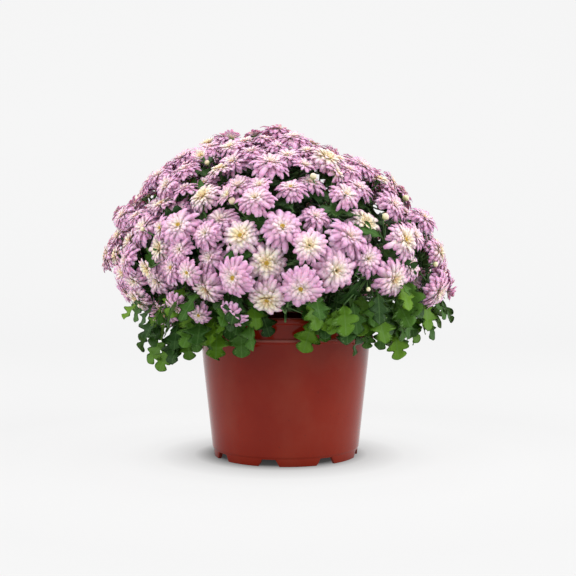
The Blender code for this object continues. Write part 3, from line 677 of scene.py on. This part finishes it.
# Leaves that the photo shows one by one, each by its foot, its tip and its shade of green; that shade is
# painted light and shade, light for the lit leaves and dark for the shaded ones.
namedLeaves = (
    ((-0.050, -0.116, 0.178), (-0.050, -0.124, 0.131), 0.55),
    ((-0.078, -0.098, 0.190), (-0.084, -0.112, 0.152), 0.15),
    ((-0.030, -0.108, 0.190), (-0.018, -0.120, 0.155), 0.10),
    ((0.034, -0.114, 0.180), (0.020, -0.124, 0.137), 0.85),
    ((0.040, -0.114, 0.180), (0.046, -0.124, 0.149), 0.60),
    ((0.050, -0.100, 0.204), (0.052, -0.120, 0.160), 0.10),
    ((0.060, -0.104, 0.176), (0.072, -0.106, 0.152), 0.35),
    ((0.078, -0.090, 0.197), (0.087, -0.104, 0.163), 0.30),
    ((0.100, -0.062, 0.164), (0.097, -0.068, 0.137), 0.60),
    ((-0.139, -0.030, 0.146), (-0.157, -0.034, 0.107), 0.80),
    ((-0.144, -0.020, 0.148), (-0.172, -0.024, 0.117), 0.75),
    ((-0.120, -0.050, 0.160), (-0.116, -0.056, 0.122), 0.70),
    ((-0.128, -0.040, 0.170), (-0.142, -0.048, 0.128), 0.35),
    ((0.130, -0.050, 0.164), (0.138, -0.056, 0.123), 0.90),
    ((0.120, -0.060, 0.170), (0.112, -0.070, 0.136), 0.50),
    ((0.146, -0.020, 0.172), (0.166, -0.024, 0.142), 0.80),
    ((0.170, 0.000, 0.190), (0.202, 0.000, 0.174), 0.90),
    ((-0.150, -0.040, 0.174), (-0.164, -0.046, 0.138), 0.45),
    ((-0.128, -0.060, 0.172), (-0.134, -0.068, 0.136), 0.30),
    ((-0.152, -0.012, 0.170), (-0.168, -0.014, 0.142), 0.60),
    ((-0.112, -0.070, 0.168), (-0.104, -0.080, 0.134), 0.55),
    ((-0.146, -0.050, 0.188), (-0.158, -0.058, 0.154), 0.15),
    ((-0.098, -0.078, 0.176), (-0.094, -0.088, 0.142), 0.70),
    ((0.148, -0.040, 0.182), (0.158, -0.046, 0.150), 0.40),
    ((0.118, -0.066, 0.188), (0.128, -0.074, 0.154), 0.30),
    ((0.136, -0.060, 0.200), (0.150, -0.070, 0.172), 0.55),
    ((0.104, -0.084, 0.204), (0.112, -0.094, 0.172), 0.75),
)
# They face the front more than outwards.
named = dict(outward=0.4, forward=0.08, upward=0.05, arch=0.10)
# Where the photo shows the pot's collar bare: from and to in x, in front of y and below z.
bareCollar = dict(left=-0.030, right=0.018, front=-0.080, top=0.200)


# The direction of a leafy stem, which stands in the middle of its sector.
def sectorTurn(sector):
    return foliage["turn"] + sector * 2.0 * math.pi / foliage["sectors"]


# The sector of a place, with its share of the way to the next.
def sectorOf(x, y):
    return (np.arctan2(y, x) - foliage["turn"]) * foliage["sectors"] / (2.0 * math.pi)


# Every leaf's foot, heading, facing, length, arch and shade, as arrays. First come the leaves of
# the solids' twigs, then the skirt in a golden spiral, then the named leaves, and last the layers
# inside the dome, each at even sites and turned at random along the dome.
def leafSlots():
    draw = np.random.default_rng(foliage["seed"])
    rows = []

    def add(base, turn, dip, length, arch, shade):
        heading = polar(math.cos(dip), turn, math.sin(dip))
        facing = polar(-math.sin(dip), turn, math.cos(dip)) + draw.normal(0.0, foliage["facingSpread"], 3)
        x, y, height = base + heading * length * foliage["middle"]
        beside = bareCollar["left"] < x < bareCollar["right"]
        if not (beside and y < bareCollar["front"] and height < bareCollar["top"]):
            rows.append((base, heading, facing, length, arch, shade))

    for sector in range(foliage["sectors"]):
        middle = sectorTurn(sector)
        own = np.random.default_rng(foliage["seed"] + sector)
        sag = foliage["sag"] * math.sin(2.0 * middle + foliage["sagTurn"])
        for twig, leaves in ((lowTwig, lowLeaves), (highTwig, highLeaves)):
            radii, heights = zip(*twig)
            for place, yaw, pitch in leaves:
                radius = np.interp(place, (0, 1, 2), radii)
                height = np.interp(place, (0, 1, 2), (heights[0], heights[1] - sag, heights[2] - sag))
                turn = middle + yaw + own.uniform(-foliage["yawSpread"], foliage["yawSpread"])
                dip = pitch + own.uniform(-foliage["pitchSpread"], foliage["pitchSpread"])
                length, arch = own.uniform(*foliage["length"]), own.uniform(*foliage["arch"])
                add(polar(radius, middle, height), turn, dip, length, arch, draw.uniform(*foliage["shade"]))
    for k in range(skirt["count"]):
        middle = k * goldenAngle
        radius = draw.uniform(*skirt["radius"])
        rise = skirt["rise"] * max(radius - skirt["riseFrom"], 0.0)
        height = skirt["height"] - skirt["fall"] * (radius - skirt["radius"][0]) + rise
        height += draw.uniform(*skirt["heightSpread"])
        dip = skirt["dip"] - skirt["dipSpread"] * draw.uniform()
        dip -= skirt["dipMore"] * (skirt["dipFrom"] - radius)
        turn = middle + draw.normal(0.0, skirt["turnSpread"])
        length, arch, shade = (draw.uniform(*skirt[label]) for label in ("length", "arch", "shade"))
        add(polar(radius, middle, height), turn, dip, length, arch, shade)
    # The named leaves' shades are painted light and shade.
    for foot, tip, shade in namedLeaves:
        foot, reach = np.array(foot), np.subtract(tip, foot)
        facing = unit(np.array([named["outward"] * foot[0], foot[1] - named["forward"], named["upward"]]))
        rows.append((foot, unit(reach), facing, float(np.linalg.norm(reach)), named["arch"], shade))
    # The layers inside the dome get low shades: their dark greens are painted shade.
    for count, last, depth, size, shades in layers:
        angle, azimuth = evenSites(count, math.pi / 2.0 + last)
        point, normal = crownPoint(angle, azimuth + layered["turn"], draw.uniform(*depth, count))
        spin = draw.uniform(0.0, 2.0 * math.pi, count)
        across, along = sideAxes(normal)
        heading = np.cos(spin)[:, None] * across + np.sin(spin)[:, None] * along
        facing = unit(normal + draw.normal(0.0, layered["facingSpread"], (count, 3)))
        length = draw.uniform(*size, count)
        foot = point - heading * length[:, None] * 0.5
        for k in range(count):
            if foot[k, 2] > layered["footAbove"] and point[k, 2] > layered["middleAbove"]:
                arch, shade = draw.uniform(*layered["arch"]), draw.uniform(*shades)
                rows.append((foot[k], heading[k], facing[k], length[k], arch, shade))
    return [np.array(column, float) for column in zip(*rows)]


# Stems

wood = dict(
    foot=0.046, sunk=0.018, soilTop=0.158, knee=(0.044, 0.195), end=(0.088, 0.240), radii=(0.0026, 0.0020),
    twigRadii=(0.0016, 0.0011), twigRise=0.008,
    crownKnee=0.21, crownTop=0.275, crownReach=0.072, crownJoin=0.97,
    join=(0.0846, 0.236), branchRadii=(0.0016, 0.0012), branchRise=0.004,
    barkFrom=0.0018, barkSpan=0.0008, bark=0.8, around=8, stations=9,
)
leafStalk = dict(drop=0.003, radii=(0.0011, 0.0007), into=0.10, around=5, stations=5)


# Main stems, twigs and branches, each as start, knee, end and two radii. A branch to a spray's hub
# starts at the nearest main stem, or at the crown stem where the hub is near the axis.
def stemLines(hubs):
    lines = []
    low = wood["soilTop"] - wood["sunk"]
    for sector in range(foliage["sectors"]):
        turn = sectorTurn(sector)
        places = ((wood["foot"], low), wood["knee"], wood["end"])
        lines.append((*(polar(radius, turn, height) for radius, height in places), *wood["radii"]))
        for twig in (lowTwig, highTwig):
            start, knee, end = (polar(radius, turn, height) for radius, height in twig)
            lines.append((start, knee + [0.0, 0.0, wood["twigRise"]], end, *wood["twigRadii"]))
    foot, knee, top = (np.array([0.0, 0.0, height]) for height in (low, wood["crownKnee"], wood["crownTop"]))
    lines.append((foot, knee, top, *wood["radii"]))
    for hub in hubs:
        reach = math.hypot(hub[0], hub[1])
        turn = sectorTurn(round(sectorOf(hub[0], hub[1])))
        joinRadius, joinHeight = wood["join"]
        start = polar(joinRadius, turn, joinHeight)
        if reach < wood["crownReach"]:
            start = top * [1.0, 1.0, wood["crownJoin"]]
        lines.append((start, (start + hub) / 2.0 + [0.0, 0.0, wood["branchRise"]], hub, *wood["branchRadii"]))
    return [np.array(column, float) for column in zip(*lines)]


# Points along the same quadratic curves, evenly by their parameter.
def samplesAlong(lines, count=9):
    start, knee, end = (column[:, None] for column in lines[:3])
    t = np.linspace(0.0, 1.0, count)[None, :, None]
    return ((1 - t) ** 2 * start + 2 * t * (1 - t) * knee + t**2 * end).reshape(-1, 3)


# The number of the nearest target for each place.
def nearestOf(places, targets):
    apart = np.linalg.norm(places[:, None] - targets[None], axis=2)
    return np.argmin(apart, axis=1)


# Building

bloomTable = dict(
    seed=99, creamShape=(1.4, 4.6), creamMore=0.15, creamMost=0.8, smallBelow=0.0135, shutMost=0.8,
    petalSeed=300, eyeShare=0.50, eyeShutBelow=0.2, neck=0.33, knee=0.55, kneeDrop=0.006,
    stalkRadii=(0.0011, 0.0009),
)
eyeTable = dict(
    profile=((0.01, 0.17), (0.07, 0.16), (0.12, 0.12), (0.13, 0.05), (0.01, 0.0)),
    marks=(0.0, 0.4, 0.8, 1.0, 1.0), around=10, ridges=5, ridge=0.08,
)
cupTable = dict(
    profile=((0.02, -0.10), (0.30, -0.12), (0.24, -0.20), (0.15, -0.27), (0.08, -0.34), (0.02, -0.36)),
    around=9, ridges=3, ridge=0.10,
)
stalkFaces = tubeFaces(7, 6)  # as many stations and sides as tubeField makes by default


# A piece of petals for each spray, with the blooms that its hub is nearest to. Eyes, cups and
# stalks are a piece each for the whole plant.
def buildFlowers(finishes):
    table = bloomTable
    centre, facing, radius = mainBlooms()
    more = fillerBlooms(centre)
    draw = np.random.default_rng(table["seed"])
    mainCount = len(radius)
    hanging = [np.array(column, float) for column in list(zip(*droopers))[:3]]
    hanging[1] = unit(hanging[1])
    centre, facing, radius = (np.concatenate(three) for three in zip((centre, facing, radius), more, hanging))
    hubs = sprayHubs()
    small = radius < table["smallBelow"]
    cream = draw.beta(*table["creamShape"], len(radius)) + table["creamMore"] * small
    cream = np.clip(cream, 0.0, table["creamMost"])
    shut = np.where(small, draw.uniform(0.0, table["shutMost"], len(radius)) ** 2, 0.0)
    shut[-len(droopers) :] = [row[3] for row in droopers]
    spray = nearestOf(centre, hubs)
    for number in range(len(hubs)):
        own = spray == number
        parts = []
        for rings, sized in ((fullRings, radius >= fullFrom), (smallRings, radius < fullFrom)):
            chosen = own & sized
            if chosen.any():
                blooms = (column[chosen] for column in (centre, facing, radius, cream, shut))
                parts.append(petalField(rings, *blooms, table["petalSeed"] + number))
        marks = {
            label: np.concatenate([np.broadcast_to(part[1][label], part[0].shape[:2]) for part in parts])
            for label in parts[0][1]
        }
        points = np.concatenate([part[0] for part in parts])
        name = f"sprayPetals_{number + 1:02d}"
        piece = repeatMesh(name, points, petalFaces, finishes["petal"], marks)
        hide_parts(f"spray_{number + 1:02d}")
    seen = (draw.uniform(size=len(radius)) < table["eyeShare"]) & (shut < table["eyeShutBelow"])
    turned = (eyeTable["profile"], eyeTable["around"], eyeTable["ridges"], eyeTable["ridge"])
    eyes = turnedField(centre[seen], facing[seen], radius[seen], *turned)
    eyeFaces = tubeFaces(len(eyeTable["profile"]), eyeTable["around"])
    ringMark = np.repeat(eyeTable["marks"], eyeTable["around"])[None]
    repeatMesh("bloomEyes", eyes, eyeFaces, finishes["eye"], dict(along=ringMark))
    turned = (cupTable["profile"], cupTable["around"], cupTable["ridges"], cupTable["ridge"])
    cups = turnedField(centre, facing, radius, *turned)
    cupFaces = tubeFaces(len(cupTable["profile"]), cupTable["around"])
    repeatMesh("bloomCups", cups, cupFaces, finishes["stem"], dict(wood=0.0))
    neck = centre - facing * radius[:, None] * table["neck"]
    hub = hubs[spray]
    knee = hub + (neck - hub) * table["knee"] - facing * table["kneeDrop"]
    stalks = tubeField(hub, knee, neck, *table["stalkRadii"])
    repeatMesh("flowerStalks", stalks, stalkFaces, finishes["stem"], dict(wood=0.0))
    print("blooms:", mainCount, "and", len(radius) - mainCount, "smaller ones")
    return hubs


buds = dict(
    seed=41, count=34, radius=(0.0024, 0.0042), lastAngle=0.62, turn=2.3, depth=(0.003, 0.014), above=0.175,
    profile=(
        (0.05, -0.95), (0.60, -0.80), (0.95, -0.30), (1.0, 0.15), (0.80, 0.62), (0.42, 0.92), (0.05, 1.0),
    ),
    around=12, ridges=6, ridge=0.05, neck=0.8, kneeDrop=0.004, stalkRadii=(0.0009, 0.0007),
)


# Round buds on thin stalks, at even sites of their own just below the dome.
def buildBuds(finishes, hubs):
    draw = np.random.default_rng(buds["seed"])
    angle, azimuth = evenSites(buds["count"], math.pi / 2.0 + buds["lastAngle"])
    place, normal = crownPoint(angle, azimuth + buds["turn"], draw.uniform(*buds["depth"], buds["count"]))
    kept = place[:, 2] > buds["above"]
    place, normal = place[kept], unit(normal[kept])
    radius = draw.uniform(*buds["radius"], len(place))
    turned = (buds["profile"], buds["around"], buds["ridges"], buds["ridge"])
    points = turnedField(place, normal, radius, *turned)
    mark = np.repeat(np.linspace(0.0, 1.0, len(buds["profile"])), buds["around"])[None]
    budFaces = tubeFaces(len(buds["profile"]), buds["around"])
    repeatMesh("roundBuds", points, budFaces, finishes["bud"], dict(along=mark))
    foot = hubs[nearestOf(place, hubs)]
    knee = (foot + place) / 2.0 - normal * buds["kneeDrop"]
    stalks = tubeField(foot, knee, place - normal * radius[:, None] * buds["neck"], *buds["stalkRadii"])
    repeatMesh("budStalks", stalks, stalkFaces, finishes["stem"], dict(wood=0.0))


# Leaves, grouped by the sector of the leafy stem that they stand for, or with the crown stem near
# the axis. Then the stems, and leaf stalks that each leave a stem at its nearest sample.
def buildFoliage(finishes, hubs):
    base, heading, facing, length, arch, shade = leafSlots()
    draw = np.random.default_rng(foliage["twistSeed"])
    twist = draw.normal(0.0, foliage["twistSpread"], len(length))
    sector = np.round(sectorOf(base[:, 0], base[:, 1])).astype(int) % foliage["sectors"]
    sector[np.hypot(base[:, 0], base[:, 1]) < foliage["coreRadius"]] = foliage["sectors"]
    names = [f"leafy_stem_{k + 1:02d}" for k in range(foliage["sectors"])] + ["crown_stem"]
    for number, node in enumerate(names):
        own = np.flatnonzero(sector == number)
        columns = (base, heading, facing, length, arch, twist, shade)
        points, marks = leafField(*(column[own] for column in columns))
        piece = repeatMesh("leaves_" + node, points, leafFaces, finishes["leaf"], marks)
        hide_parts(node)
    lines = stemLines(hubs)
    stems = tubeField(*lines, wood["around"], wood["stations"])
    stemFaces = tubeFaces(wood["stations"], wood["around"])
    bark = np.clip((lines[3] - wood["barkFrom"]) / wood["barkSpan"], 0.0, 1.0) * wood["bark"]
    repeatMesh("stems", stems, stemFaces, finishes["stem"], dict(wood=bark[:, None]))
    anchors = samplesAlong(lines)
    foot = anchors[nearestOf(base, anchors)]
    knee = (foot + base) / 2.0 - [0.0, 0.0, leafStalk["drop"]]
    tip = base + unit(heading) * length[:, None] * leafStalk["into"]
    petioles = tubeField(foot, knee, tip, *leafStalk["radii"], leafStalk["around"], leafStalk["stations"])
    petioleFaces = tubeFaces(leafStalk["stations"], leafStalk["around"])
    repeatMesh("petioles", petioles, petioleFaces, finishes["stem"], dict(wood=0.0))
    print("leaves:", len(length))


# Pot and soil

potTable = dict(
    height=0.175, lip=0.1115, lipLow=0.1675, bandBottom=0.1455, band=0.1095, bodyTop=0.1064, bodyLow=0.0922,
    wall=0.0018, under=0.0105, foot=0.0910, footWidth=0.0050, feet=8, footTurn=math.radians(-80.0),
    notchHeight=0.0085, notchTop=0.0085, notchLow=0.0125, around=240, centre=0.0005, bodyMiddle=0.112,
    drains=6, drainRing=0.060, drainRadius=0.0055, drainDepth=0.02, drainSides=32, sharp=math.radians(40.0),
)
bend = dict(cut=0.0007, most=0.45, steps=3)


# The corners joined by straight lines, each corner turned by a quadratic bend that starts and ends
# a short cut away from it.
def roundedProfile(corners):
    corners = np.array(corners, float)
    points = [corners[0]]
    for before, corner, after in zip(corners[:-2], corners[1:-1], corners[2:]):
        reachIn, reachOut = np.linalg.norm(before - corner), np.linalg.norm(after - corner)
        first = corner + (before - corner) * min(bend["cut"] / reachIn, bend["most"])
        last = corner + (after - corner) * min(bend["cut"] / reachOut, bend["most"])
        t = np.linspace(0.0, 1.0, bend["steps"] + 1)[:, None]
        points += list((1 - t) ** 2 * first + 2 * t * (1 - t) * corner + t**2 * last)
    return np.array(points + [corners[-1]])


# A turned shell. Its lowest points are raised at the notches, with a slope at both sides of each,
# and the drain holes are cut through its floor.
def buildPot(finishes):
    table = potTable
    floorTop = table["under"] + table["wall"]
    lip, band, bodyTop, bodyLow, foot = (table[k] for k in ("lip", "band", "bodyTop", "bodyLow", "foot"))
    height, bandBottom, under, wall = table["height"], table["bandBottom"], table["under"], table["wall"]
    corners = [
        (table["centre"], floorTop), (bodyLow - wall, floorTop),  # the floor
        (bodyTop - wall, bandBottom + 0.001),  # inside the body
        (band - wall - 0.001, bandBottom + 0.003), (lip - 0.0042, height - 0.0015),  # inside the collar
        (lip - 0.0034, height), (lip - 0.0018, height), (lip, height - 0.0020),  # the lip's top
        (lip, table["lipLow"] + 0.0010), (lip - 0.0022, table["lipLow"] - 0.0006),  # the lip's underside
        (band - 0.0010, bandBottom + 0.0052), (band + 0.0012, bandBottom + 0.0028),  # the collar, ledge
        (band + 0.0012, bandBottom + 0.0006), (bodyTop, bandBottom - 0.0008),  # under the ledge
        (bodyTop - 0.0032, table["bodyMiddle"]), (bodyLow, under + 0.001),  # the body
        (foot, under - 0.0012), (foot - 0.0010, 0.0), (foot - table["footWidth"], 0.0),  # the foot ring
        (foot - table["footWidth"], under), (table["centre"], under),  # the floor's underside
    ]
    profile = roundedProfile(corners)
    turn = fullTurn(table["around"])
    pitch = 2.0 * math.pi / table["feet"]
    away = np.abs((turn - table["footTurn"]) % pitch - pitch / 2.0) * table["foot"]
    slope = (table["notchLow"] - away) / (table["notchLow"] - table["notchTop"])
    cutHeight = np.clip(slope, 0.0, 1.0) * table["notchHeight"]
    radius = np.broadcast_to(profile[:, 0, None], (len(profile), len(turn)))
    points = polar(radius, turn, np.maximum(profile[:, 1, None], cutHeight[None])).reshape(1, -1, 3)
    potFaces = tubeFaces(len(profile), len(turn))
    pot = repeatMesh("pot_shell", points, potFaces, finishes["pot"])
    drains = []
    for k in range(table["drains"]):
        bpy.ops.mesh.primitive_cylinder_add(
            vertices=table["drainSides"], radius=table["drainRadius"], depth=table["drainDepth"]
        )
        place = polar(table["drainRing"], k * 2.0 * math.pi / table["drains"], under) + [potAxisX, 0.0, 0.0]
        drains.append(bpy.context.object)
        drains[-1].location = Vector(place)
    bpy.ops.object.select_all(action="DESELECT")
    for drain in drains:
        drain.select_set(True)
    bpy.context.view_layer.objects.active = drains[0]
    bpy.ops.object.join()
    cut = pot.modifiers.new("drains", "BOOLEAN")
    cut.operation, cut.solver, cut.object = "DIFFERENCE", "MANIFOLD", drains[0]
    bpy.context.view_layer.update()
    done = bpy.data.meshes.new_from_object(pot.evaluated_get(bpy.context.evaluated_depsgraph_get()))
    pot.modifiers.clear()
    pot.data = done
    bpy.data.objects.remove(drains[0])
    done.set_sharp_from_angle(angle=table["sharp"])
    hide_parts("pot")


peat = dict(
    rings=60, around=160, first=0.004, radius=0.1038, mound=0.004, crumb=0.0016,
    edgeShare=0.99, edgeHeight=0.148,
    waves=((97, 113, 1.3, 0), (310, 270, 0.4, 2), (640, 700, 2.2, 1), (1300, 1150, 0.1, 4)),
)


# A disc in the pot's mouth, higher by one less the squared share of its radius, and crumbly by a
# sum of crossed sine waves.
def buildSoil(finishes):
    table = peat
    around = table["around"]
    share = np.linspace(table["first"], 1.0, table["rings"])[:, None]
    turn = fullTurn(around)[None]
    x, y = table["radius"] * share * np.cos(turn), table["radius"] * share * np.sin(turn)
    crumbs = sum(
        np.sin(x * alongX + shiftX) * np.cos(y * alongY + shiftY) / number
        for number, (alongX, alongY, shiftX, shiftY) in enumerate(table["waves"], 1)
    )
    top = wood["soilTop"] + table["mound"] * (1.0 - share**2) + table["crumb"] * crumbs
    upper = np.stack([x, y, top], -1).reshape(-1, 3)
    edge = table["edgeShare"]
    rim = np.stack([x[-1] * edge, y[-1] * edge, np.full(around, table["edgeHeight"])], -1)
    points = np.concatenate([upper, rim])[None]
    soil = repeatMesh("peat_top", points, tubeFaces(table["rings"] + 1, around), finishes["soil"])
    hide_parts("soil")


# Stage


stage = dict(
    halfWidth=6.0, front=-5.0, bend=2.2, radius=1.5, top=5.0, steps=17,
    reflects=0.15, glowReach=4.0, room=0.905, aim=(0.0, 0.0, 0.22),
    # The floor's glow by the distance from the plant's foot, in metres: low round the pot's foot as a painted
    # shadow, a little raised just beyond the pot as painted light over the plant's cast shadow, and rising
    # far off to keep the backdrop even
    glowWithPaintedLightAndShade=(
        (0.0, 0.0), (0.086, 0.05), (0.10, 0.46), (0.115, 0.57), (0.156, 0.735), (0.195, 0.76),
        (0.24, 0.735), (0.33, 0.705), (0.44, 0.685), (1.0, 0.705), (2.2, 0.735), (4.0, 0.765),
    ),
)
# Each soft light: its name, place, side length and watts.
lamps = (
    ("keyLight", (-1.1, -1.7, 2.2), 1.2, 15.5),
    ("rightLight", (1.9, -0.5, 0.9), 1.0, 20.0),
    ("leftLight", (-1.9, -0.5, 0.9), 1.0, 10.0),
    ("topLight", (0.1, 0.1, 2.3), 1.4, 21.0),
)
view = dict(sensor=36.0, lens=57.4, aside=0.003, distance=1.16, height=0.219, down=math.radians(0.52))


# A pale floor that curves up behind by a quarter circle and glows by its distance from the plant, with a
# painted shadow round the pot's foot and painted light over the plant's cast shadow; soft lights round it,
# and the camera.
def buildStage():
    table = stage
    turn = np.linspace(0.0, math.pi / 2.0, table["steps"])
    back = table["bend"] + table["radius"] * np.append(np.sin(turn), 1.0)
    y = np.append(table["front"], back)
    z = np.concatenate([[0.0], table["radius"] * (1.0 - np.cos(turn)), [table["top"]]])
    left = np.stack([np.full(len(y), -table["halfWidth"]), y, z], -1)
    right = left * [-1.0, 1.0, 1.0]
    mesh = bpy.data.meshes.new("studioFloor")
    count = len(y)
    faces = [(k, k + count, k + 1 + count, k + 1) for k in range(count - 1)]
    mesh.from_pydata(np.concatenate([left, right]).tolist(), [], faces)
    mesh.polygons.foreach_set("use_smooth", np.ones(len(faces), bool))
    floor = bpy.data.objects.new("studioFloor", mesh)
    bpy.context.scene.collection.objects.link(floor)
    nodes = Nodes("paleFloor", 0.9, Specular_IOR_Level=0.0, Emission_Strength=1.0)
    nodes.shader.inputs["Base Color"].default_value = (*[table["reflects"]] * 3, 1.0)
    away = nodes.tree.nodes.new("ShaderNodeVectorMath")
    away.operation = "LENGTH"
    nodes.link(nodes.place(), away.inputs[0])
    share = nodes.maths("MULTIPLY", away.outputs["Value"], 1.0 / table["glowReach"])
    # The glow ramp paints a shadow round the pot's foot and light over the plant's cast shadow.
    glowWithPaintedLightAndShade = nodes.ramp(share, *((reach / table["glowReach"], (value,) * 3) for reach, value in table["glowWithPaintedLightAndShade"]))
    nodes.link(glowWithPaintedLightAndShade, nodes.shader.inputs["Emission Color"])
    mesh.materials.append(nodes.material)

    world = bpy.data.worlds.new("softRoom")
    bpy.context.scene.world = world
    world.use_nodes = True
    background = world.node_tree.nodes["Background"]
    background.inputs["Color"].default_value = (1.0, 1.0, 1.0, 1.0)
    background.inputs["Strength"].default_value = table["room"]

    for name, place, size, watts in lamps:
        light = bpy.data.lights.new(name, "AREA")
        light.size, light.energy = size, watts
        lamp = bpy.data.objects.new(name, light)
        lamp.location = place
        aim = Vector(table["aim"]) - Vector(place)
        lamp.rotation_euler = aim.to_track_quat("-Z", "Y").to_euler()
        bpy.context.scene.collection.objects.link(lamp)

    lens = bpy.data.cameras.new("photoCamera")
    lens.sensor_width, lens.lens = view["sensor"], view["lens"]
    camera = bpy.data.objects.new("photoCamera", lens)
    camera.location = (potAxisX + view["aside"], -view["distance"], view["height"])
    camera.rotation_euler = (math.pi / 2.0 - view["down"], 0.0, 0.0)
    bpy.context.scene.collection.objects.link(camera)
    bpy.context.scene.camera = camera
    bpy.context.scene.view_settings.view_transform = "Standard"


finishes = dict(
    petal=petalMaterial(), eye=eyeMaterial(), leaf=leafMaterial(), stem=stemMaterial(),
    bud=budMaterial(), pot=potMaterial(), soil=soilMaterial(),
)
print("materials made")
buildStage()
buildPot(finishes)
buildSoil(finishes)
print("pot and soil made")
sprayPlaces = buildFlowers(finishes)
buildBuds(finishes, sprayPlaces)
buildFoliage(finishes, sprayPlaces)
print("plant made")
